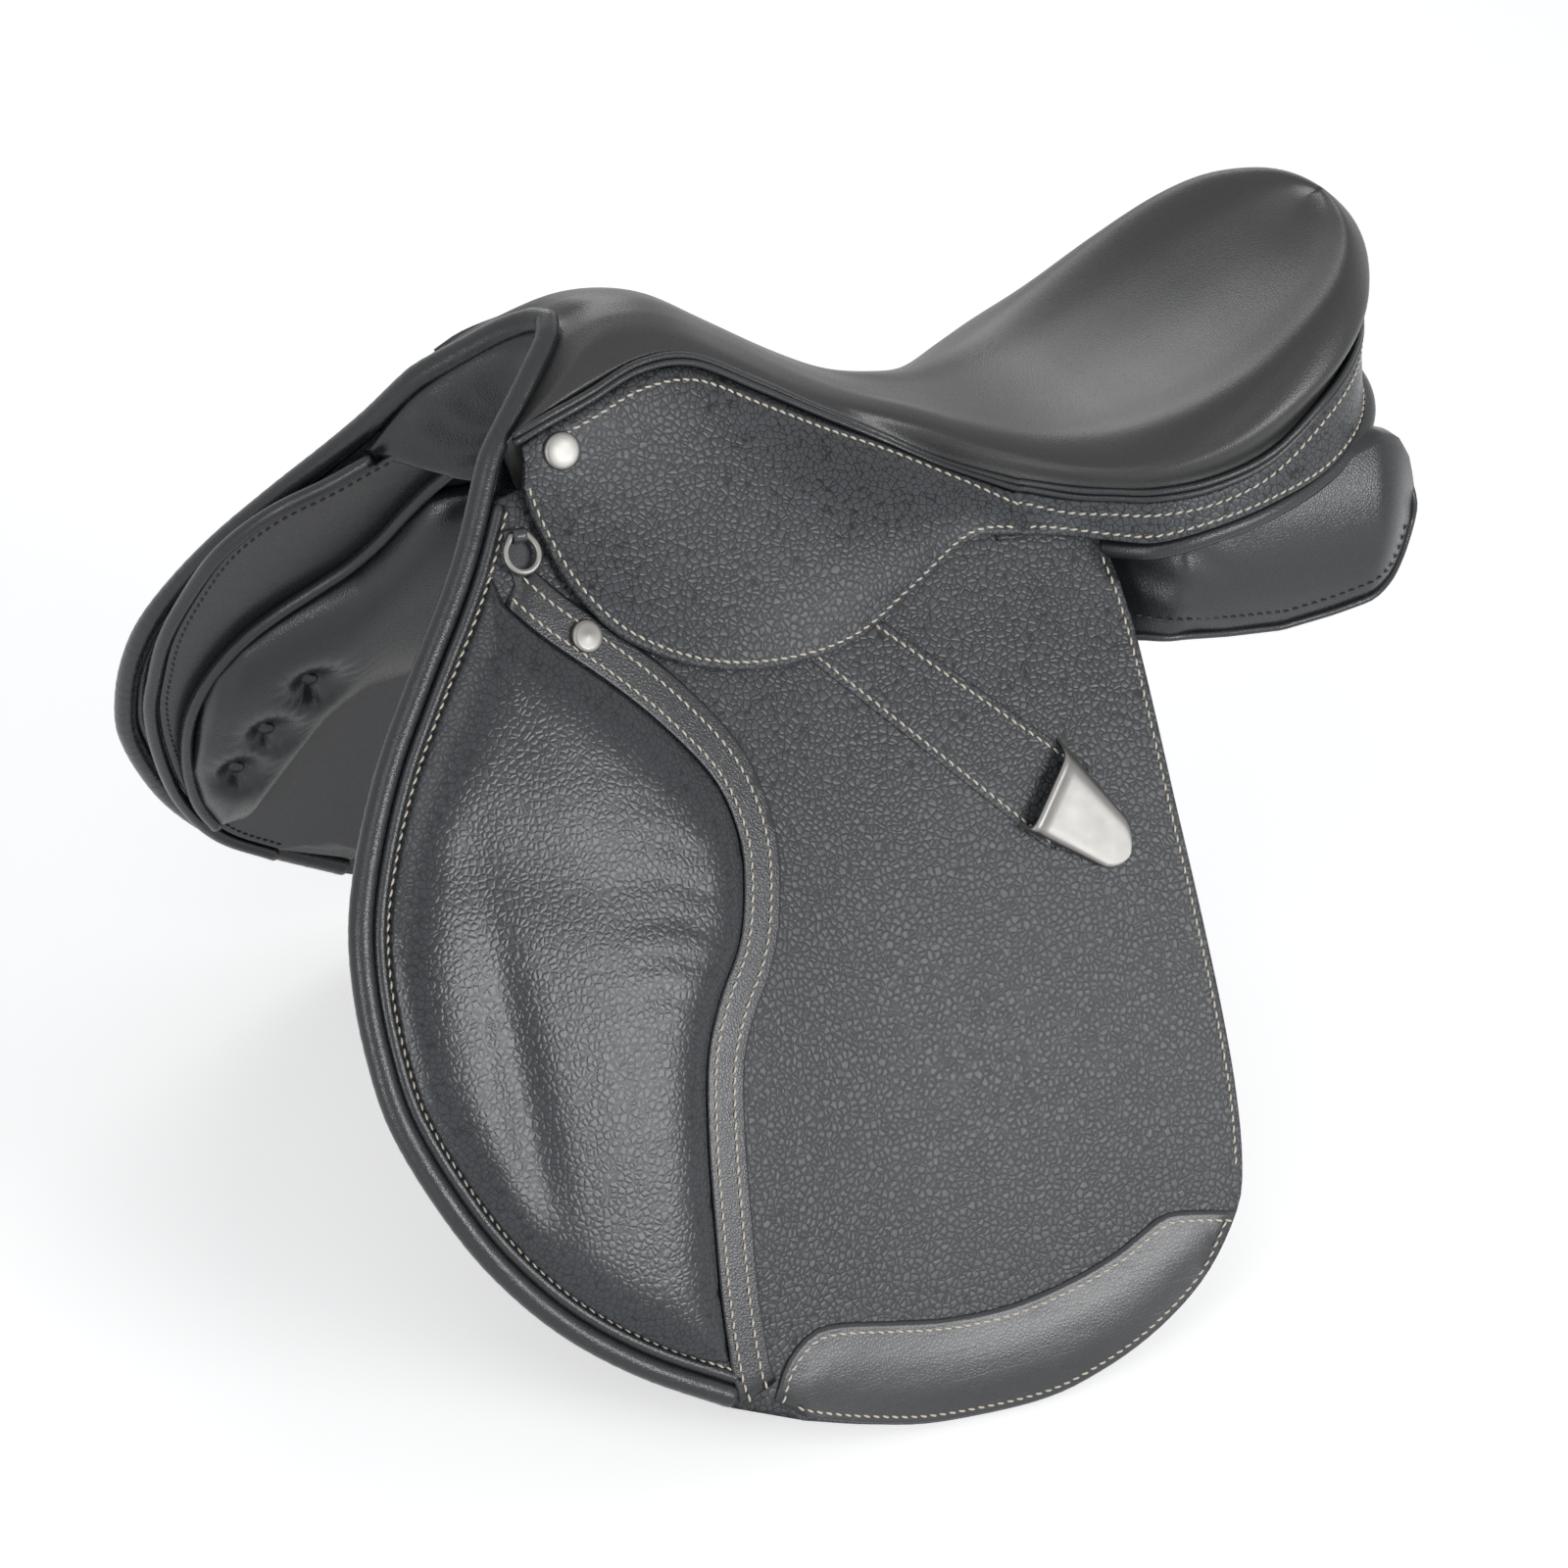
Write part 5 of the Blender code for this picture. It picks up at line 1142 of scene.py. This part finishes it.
def panel_inner(x, height):
    """Half width at the panel's padded inner face, drawn in and gathered at the tufts."""
    low, high, crown = panel_size(x)
    swell = math.sqrt(max(0.0, 1.0 - abs(2.0 * (height - low) / (high - low) - 1.0) ** 3))
    depth = crown
    for tuft_x, tuft_z in TUFTS:
        away = math.hypot(x - tuft_x, height - tuft_z)
        turn = math.atan2(height - tuft_z, x - tuft_x)
        depth -= TUFT_DEPTH * bell(away, TUFT_SPREAD)
        gathers = bell(away - 13.0, 7.5) * smooth_step((away - 4.0) / 5.0)
        depth -= 0.42 * gathers * math.cos(TUFT_GATHERS * turn + 0.9 * math.sin(3.0 * turn))
    outer = panel_outer(x, height)
    return max(outer - depth * swell, min(CHANNEL_HALF_WIDTH, outer - 2.0))


def gusset_creases(x, height):
    """Soft folds in the gusset's leather behind the flap."""
    zone = smooth_step((x - 100.0) / 14.0) * bell(x - 122.0, 30.0)
    return 0.8 * zone * math.sin(0.33 * height + 0.16 * x + 0.8 * math.sin(0.13 * x))


def panel_ring(x, outer_steps, inner_steps):
    low, high, _ = panel_size(x)
    outer = [(x, panel_outer(x, z) + gusset_creases(x, z), z)
             for z in np.linspace(low, high, outer_steps + 1)]
    shares = np.linspace(-1.0, 1.0, inner_steps + 1)[-2:0:-1]
    shares = shares * (1.25 - 0.25 * shares**2)
    inner = [(x, panel_inner(x, z), z) for z in low + (high - low) * (0.5 + 0.5 * shares)]
    return outer + inner


def make_panels(smooth, dark_yarn):
    first, last = PANEL_ROWS[0][0], PANEL_ROWS[-1][0]
    places = np.concatenate([np.arange(first, -196.0, 1.6), np.arange(-195.0, 90.0, 8.0),
                             np.arange(92.0, last - 1.0, 3.0), [last - 0.7, last]])
    rings = [panel_ring(x, 16, 64) for x in places]
    edge_x = np.append(np.arange(GUSSET_STARTS_X + 2.0, last - 3.0, 4.0), last)
    edge = np.array([(x, panel_size(x)[0]) for x in edge_x])
    seam = on_panel(moved_in(edge, -PANEL_PIPING_RADIUS + 0.9), 0.2)
    seam.append((last + 0.2, panel_outer(last, 304.0), 306.0))
    seam.append((last - 1.0, panel_outer(last, 314.0) - 4.0, 316.0))
    seam = spaced(seam, 4.0)
    front_welt = spaced(on_panel(PANEL_FRONT_WELT, -3.0), 3.0)
    strip = spaced(PANEL_STRIP, 3.0)
    strip[-1, 1] = 0.0
    above = resampled(moved_in(edge, 9.0), 2.5)
    gusset_seam = (np.array(on_panel(above, 0.1)), np.tile((0.0, 1.0, 0.0), (len(above), 1)))
    for name, side in SIDES.items():
        panel = lofted(f"{name}_panel_leather", rings, smooth, side)
        dress(panel, "saddle", f"{name}_panel", "panel_leather")
        piping = tube(f"{name}_panel_piping", seam, PANEL_PIPING_RADIUS, smooth, sides=10, side=side)
        dress(piping, "saddle", f"{name}_panel_welt", "soft_leather")
        for piece in (
            tube(f"{name}_panel_front_welt", front_welt, FRONT_WELT_RADIUS, smooth, side=side),
            tube(f"{name}_panel_strip", strip, PANEL_STRIP_RADIUS, smooth, sides=18, side=side),
            stitched(f"{name}_gusset_stitches", [gusset_seam], dark_yarn, side),
        ):
            dress(piece, "saddle", slot="soft_leather")
        for order, (x, z) in enumerate(TUFTS, start=1):
            centre = np.array([x, panel_inner(x, z) + 0.6, z])
            button = domed_disc(f"{name}_tuft_button_{order}", centre, TUFT_BUTTON_AXIS, TUFT_BUTTON_RADIUS,
                                TUFT_BUTTON_HEIGHT, smooth, side, flat_share=0.55)
            dress(button, "saddle", f"{name}_panel_button_{order}", "soft_leather")


def domed_disc(name, centre, axis, radius, height, finish, side, flat_share):
    """A turned head: a rounded rim round a slightly domed face, on a short side wall."""
    axis = unit(np.asarray(axis, float))
    across = unit(np.cross(axis, (0.2, 0.5, 0.84)))
    up = np.cross(axis, across)
    levels = [(0.0, 0.0), (1.0, 0.0), (1.0, 0.35), (0.97, 0.6), (0.9, 0.82)]
    levels += [(flat_share + (0.9 - flat_share) * s, 0.82 + 0.12 * (1.0 - s)) for s in (0.66, 0.33, 0.0)]
    levels += [(0.5 * flat_share, 0.98), (0.0, 1.0)]
    rings = [circle(centre + axis * lift * height, across, up, radius * share, DISC_SIDES)
             for share, lift in levels]
    return lofted(name, rings, finish, side, caps=(False, False))


def make_gullet_facing(finish, dark_yarn):
    """The padded facing of the head, puffed out between the two rolls and drawn in along its lower seam."""
    edges = []
    for corners in (FACING_FRONT, FACING_BACK):
        line = resampled(catmull(corners, 6), 0.1)
        edges.append(line[np.linspace(0, len(line) - 1, FACING_ROWS).astype(int)])
    front, back = edges
    grid = np.zeros((FACING_ROWS, FACING_COLUMNS, 3))
    for k in range(FACING_COLUMNS):
        share = k / (FACING_COLUMNS - 1)
        grid[:, k] = front * (1.0 - share) + back * share
    along = np.linspace(0.0, 1.0, FACING_ROWS)[:, None]
    across = np.linspace(0.0, 1.0, FACING_COLUMNS)[None, :]
    round_edge = np.sqrt(np.clip(1.0 - (1.0 - np.clip(across / 0.3, 0.0, 1.0)) ** 2, 0.0, 1.0))
    round_edge = round_edge * np.sqrt(np.clip((1.0 - across) / 0.3, 0.0, 1.0))
    round_end = np.sqrt(np.clip(1.0 - (1.0 - np.clip((1.0 - along) / 0.22, 0.0, 1.0)) ** 2, 0.0, 1.0))
    folds = 0.5 * np.sin(34.0 * along + 7.0 * across + 1.4 * np.sin(9.0 * across))
    folds = folds * smooth_step((along - 0.25) / 0.4)
    swell = (FACING_SWELL + folds) * round_edge * round_end
    toward = FACING_PUFFS_TOWARD
    face = grid + toward * swell[:, :, None]
    back_face = grid - toward * 2.0
    rings = np.concatenate([with_mirror(face, 0), with_mirror(back_face, 0)[:, ::-1]], axis=1)
    facing = lofted("gullet_facing_leather", rings, finish)
    add_wrinkle_weights(facing, lambda co: 0.7 * float(smooth_step((abs(co.y) / MM - 12.0) / 26.0)))
    dress(facing, "saddle", "gullet_facing", "soft_leather")
    seam = with_mirror(face[:, 1:-1], 0)
    for label, end in (("near", 0), ("off", -1)):
        line = seam[end] + toward * 0.4
        row = (line, np.tile(toward, (len(line), 1)))
        dress(stitched(f"facing_seam_stitches_{label}", [row], dark_yarn), "saddle")


def keeper_sections():
    run = np.array(KEEPER_DIRECTION) / np.hypot(*KEEPER_DIRECTION)
    cross = np.array([-run[1], run[0]])
    half = KEEPER_MOUTH_WIDTH / 2.0
    straight = KEEPER_LENGTH - KEEPER_TIP_RADIUS

    def half_width(s):
        if s <= straight:
            return half + (KEEPER_TIP_RADIUS + 1.0 - half) * s / straight
        beyond = (s - straight) / KEEPER_TIP_RADIUS
        return (KEEPER_TIP_RADIUS + 1.0) * math.sqrt(max(0.0, 1.0 - beyond**2))

    def world(s, t, lift):
        x, z = np.array(KEEPER_MOUTH_AT) + run * s + cross * t
        return on_flap(x, z, 0.3 + lift)

    return half_width, world, straight


def make_keepers(finish):
    half_width, world, straight = keeper_sections()
    count = 25

    def arch(s, inset):
        """Points across the keeper's top from one foot to the other."""
        w = max(0.2, half_width(s) - inset)
        h = KEEPER_MOUTH_HEIGHT + (KEEPER_TIP_HEIGHT - KEEPER_MOUTH_HEIGHT) * s / KEEPER_LENGTH - inset
        h += 1.3 * bell(s, 2.2)
        made = []
        for k in range(count):
            turn = -1.0 + 2.0 * k / (count - 1)
            aside = w * math.copysign(1.0 - (1.0 - abs(turn)) ** 1.25, turn)
            made.append(world(s, aside, max(0.0, h * (1.0 - abs(turn) ** 9))))
        return made

    at_tip = straight + KEEPER_TIP_RADIUS * np.array([0.3, 0.55, 0.75, 0.88, 0.96, 0.995])
    outer_at = [-1.6, -0.9, 0.0, 1.2, 3.0, 6.0, *np.linspace(10.0, straight, 7), *at_tip]
    inner_at = list(np.linspace(straight - 4.0, 0.0, 6)) + [-0.9, -1.5]
    lip = arch(-1.9, 0.55)
    rows = np.array([arch(s, KEEPER_METAL) for s in inner_at] + [lip] + [arch(s, 0.0) for s in outer_at])
    floor = np.array([[world(s, half_width(s) * t, 0.05) for t in np.linspace(-1.0, 1.0, 9)]
                      for s in np.linspace(0.5, KEEPER_LENGTH - 0.4, 16)])
    points, faces = [], []
    for sheet in (rows, floor):
        faces += [tuple(len(points) + i for i in face) for face in strip_faces(*sheet.shape[:2])]
        points += list(sheet.reshape(-1, 3))
    for name, side in SIDES.items():
        keeper = new_piece(f"{name}_keeper_metal", points, faces, finish, side)
        dress(keeper, f"{name}_flap", f"{name}_keeper", "steel")


def make_studs(finish):
    grid, _ = skirt_grid()
    normal = sheet_normals(grid)
    row = int(np.argmin(np.abs(grid[:, 3, 0] - NAIL_AT[0])))
    centre, out = grid[row, 4], normal[row, 4]
    stud_normal = flap_normal(*STUD_AT)
    stud = on_flap(STUD_AT[0], STUD_AT[1], SEAM_BAND_THICKNESS)
    for name, side in SIDES.items():
        nail = domed_disc(f"{name}_nail_head", centre + out * 0.2, out, NAIL_HEAD_RADIUS, NAIL_HEAD_HEIGHT,
                          finish, side, flat_share=0.8)
        dress(nail, "saddle", f"{name}_skirt_nail", "steel")
        rivet = domed_disc(f"{name}_flap_rivet", stud, stud_normal, STUD_RADIUS, STUD_HEIGHT, finish, side,
                           flat_share=0.3)
        dress(rivet, f"{name}_flap", f"{name}_flap_stud", "steel")


def make_dees(finish, strap):
    x, z = DEE_AT
    out = upright_normal(x, z)
    down = np.array([0.0, out[2], -out[1]])
    across = np.array([1.0, 0.0, 0.0])
    hole = DEE_WIRE_RADIUS + 0.4
    wall = 1.4
    centre = on_flap(x, z, 0.0) + out * (hole + wall + 1.2)
    half = DEE_WIDTH / 2.0
    path = [centre + across * half * t for t in np.linspace(-0.5, 0.5, 5)]
    for angle in np.radians(np.linspace(35.0, -215.0, 33)):
        low = 0.5 * (1.0 - math.sin(angle))
        path.append(centre + across * half * math.cos(angle) + down * DEE_DROP * low)
    turn = np.radians(np.linspace(-140.0, 110.0, 15))
    profile = [(hole + wall, a) for a in turn] + [(hole, a) for a in turn[::-1]]
    rings = []
    for t in (-0.4, -0.38, -0.2, 0.0, 0.2, 0.38, 0.4):
        middle = centre + across * half * t
        trim = 0.25 if abs(t) == 0.4 else 0.0
        rings.append([middle + (r - trim if r > hole else r) * (math.cos(a) * out - math.sin(a) * down)
                      for r, a in profile])
    tab = [(x + right, z + up) for right, up in DEE_TAB]
    tab = resampled(np.vstack([tab, tab[:1]]), 2.5)[:-1]
    for name, side in SIDES.items():
        ring = tube(f"{name}_dee_wire", path, DEE_WIRE_RADIUS, finish, sides=16, side=side, closed=True)
        dress(ring, f"{name}_dee", f"{name}_dee_ring", "steel")
        loop = lofted(f"{name}_dee_loop", rings, strap, side)
        dress(loop, f"{name}_flap", f"{name}_dee_tab", "strap_leather")
        base = plate(f"{name}_dee_tongue", tab, 1.3, 0.05, 3.0, strap, side, 0.6)
        dress(base, f"{name}_flap", slot="strap_leather")


def finish_frame_nodes(frame, finishes):
    """Finishes for the CAD nodes that stay in sight: tree, arch, straps and bars."""
    for name, obj in frame["nodes"].items():
        for part, finish in finishes.items():
            if part in name:
                obj.data.materials.clear()
                obj.data.materials.append(finish)
        if any(part in name for part in ("billet", "stirrup_bar", "bar_catch", "gullet_plate")):
            bevel = obj.modifiers.new("soft_edges", "BEVEL")
            bevel.width = 0.0005
            bevel.segments = 2
            bevel.limit_method = "ANGLE"
            bevel.angle_limit = math.radians(50.0)


def make_camera():
    azimuth, elevation = math.radians(CAMERA_AZIMUTH), math.radians(CAMERA_ELEVATION)
    roll = math.radians(CAMERA_ROLL)
    back = Vector((math.sin(azimuth) * math.cos(elevation), -math.cos(azimuth) * math.cos(elevation),
                   math.sin(elevation)))
    right = Vector((math.cos(azimuth), math.sin(azimuth), 0.0))
    up = back.cross(right)
    turned_right = right * math.cos(roll) + up * math.sin(roll)
    turned_up = up * math.cos(roll) - right * math.sin(roll)
    data = bpy.data.cameras.new("camera")
    data.lens = CAMERA_LENS
    data.sensor_width = CAMERA_SENSOR
    data.shift_x, data.shift_y = CAMERA_SHIFT
    camera = add_object("camera", data)
    turn = Matrix((turned_right, turned_up, back)).transposed().to_4x4()
    turn.translation = place(CAMERA_TARGET) + back * CAMERA_DISTANCE * MM
    camera.matrix_world = turn
    bpy.context.scene.camera = camera


def make_lamp(name, at, size, power):
    data = bpy.data.lights.new(name, "AREA")
    data.shape = "RECTANGLE"
    data.size, data.size_y = size
    data.energy = power
    lamp = add_object(name, data)
    lamp.location = at
    lamp.visible_camera = False
    lamp.rotation_mode = "QUATERNION"
    lamp.rotation_quaternion = (Vector(LAMP_TARGET) - Vector(at)).to_track_quat("-Z", "Y")


def white_to_camera(tree, seen, lit):
    """Shows one shader to camera, glossy and transmission rays, and the lit one to all others."""
    path = tree.nodes.new("ShaderNodeLightPath")
    factor = path.outputs["Is Camera Ray"]
    for ray in ("Is Glossy Ray", "Is Transmission Ray"):
        either = tree.nodes.new("ShaderNodeMath")
        either.operation = "MAXIMUM"
        tree.links.new(factor, either.inputs[0])
        tree.links.new(path.outputs[ray], either.inputs[1])
        factor = either.outputs[0]
    mix = tree.nodes.new("ShaderNodeMixShader")
    tree.links.new(factor, mix.inputs[0])
    tree.links.new(lit, mix.inputs[1])
    tree.links.new(seen, mix.inputs[2])
    return mix.outputs[0]


def make_stage(floor_z):
    world = bpy.data.worlds.new("studio")
    bpy.context.scene.world = world
    world.use_nodes = True
    tree = world.node_tree
    lit = tree.nodes["Background"]
    lit.inputs["Color"].default_value = WORLD_TINT
    lit.inputs["Strength"].default_value = WORLD_STRENGTH
    seen = tree.nodes.new("ShaderNodeBackground")
    seen.inputs["Color"].default_value = WHITE
    seen.inputs["Strength"].default_value = 1.0
    mixed = white_to_camera(tree, seen.outputs[0], lit.outputs[0])
    tree.links.new(mixed, tree.nodes["World Output"].inputs["Surface"])

    mesh = bpy.data.meshes.new("floor")
    corners = [(-1, -1), (1, -1), (1, 1), (-1, 1)]
    mesh.from_pydata([(x * FLOOR_REACH, y * FLOOR_REACH, floor_z) for x, y in corners], [], [(0, 1, 2, 3)])
    floor = add_object("floor", mesh)
    n = Nodes("floor_white")
    n.drive("Base Color", (FLOOR_GREY, FLOOR_GREY, FLOOR_GREY, 1.0))
    n.drive("Roughness", 0.9)
    glow = n.add("ShaderNodeEmission", Color=WHITE, Strength=FLOOR_GLOW).outputs[0]
    both = n.add("ShaderNodeAddShader", i0=n.shader.outputs[0], i1=glow).outputs[0]
    output = n.tree.nodes["Material Output"]
    n.tree.links.new(white_to_camera(n.tree, both, n.shader.outputs[0]), output.inputs["Surface"])
    mesh.materials.append(n.material)

    for name, (at, size, power) in LAMPS.items():
        make_lamp(name, at, size, power)


def main():
    for obj in list(bpy.data.objects):
        bpy.data.objects.remove(obj)
    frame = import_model()
    cad_box = [list(corner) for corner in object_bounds()]
    bpy.context.scene.view_settings.view_transform = "Standard"

    # Each leather's crease share sets how dark the painted shade in its creases is.
    seat = leather("seat_leather", (0.021, 0.022, 0.021), roughness=0.36, cell=1.4, relief=0.04, crease_shade=0.35)
    grain = leather("grain_leather", (0.058, 0.062, 0.067), roughness=0.30, cell=3.2, relief=0.15,
                    crease_shade=0.96, specular=0.22)
    smooth = leather("soft_leather", (0.016, 0.018, 0.021), roughness=0.28, cell=1.5, relief=0.05,
                     crease_shade=0.35, wrinkles=2.0)
    pad_leather = leather("pad_leather", (0.030, 0.034, 0.039), roughness=0.27, cell=3.0, relief=0.085,
                          crease_shade=0.92, specular=0.38, wrinkles=0.9)
    strap = leather("strap_leather", (0.032, 0.034, 0.037), roughness=0.29, cell=1.8, relief=0.03,
                    crease_shade=0.3, scratches=0.8)
    nickel = metal("satin_nickel", (0.24, 0.235, 0.225), roughness=0.34, brushed=0.5)
    yarn = thread("cream_thread", (0.70, 0.64, 0.53))
    dark_yarn = thread("black_thread", (0.03, 0.03, 0.032))
    polymer = plain("moulded_tree", (0.02, 0.02, 0.022), (0.045, 0.045, 0.05), 0.55, 320.0, 0.06)
    web = webbing("girth_webbing")

    make_seat(seat)
    make_piping(smooth)
    make_gullet_facing(smooth, dark_yarn)
    make_rolls(smooth)
    make_skirts(grain, yarn)
    make_cantle_band(grain, yarn)
    make_flaps(grain, smooth, pad_leather, strap, yarn)
    make_sweat_flaps(smooth, strap, dark_yarn)
    make_panels(smooth, dark_yarn)
    make_keepers(nickel)
    make_studs(nickel)
    make_dees(nickel, strap)
    finish_frame_nodes(frame, {
        "tree": polymer, "gullet_plate": nickel, "gullet_screw": nickel, "billet": strap, "girth_web": web,
        "stirrup_bar": nickel, "bar_catch": nickel,
    })
    make_camera()
    make_stage(cad_box[0][2] - FLOOR_DROP)


main()
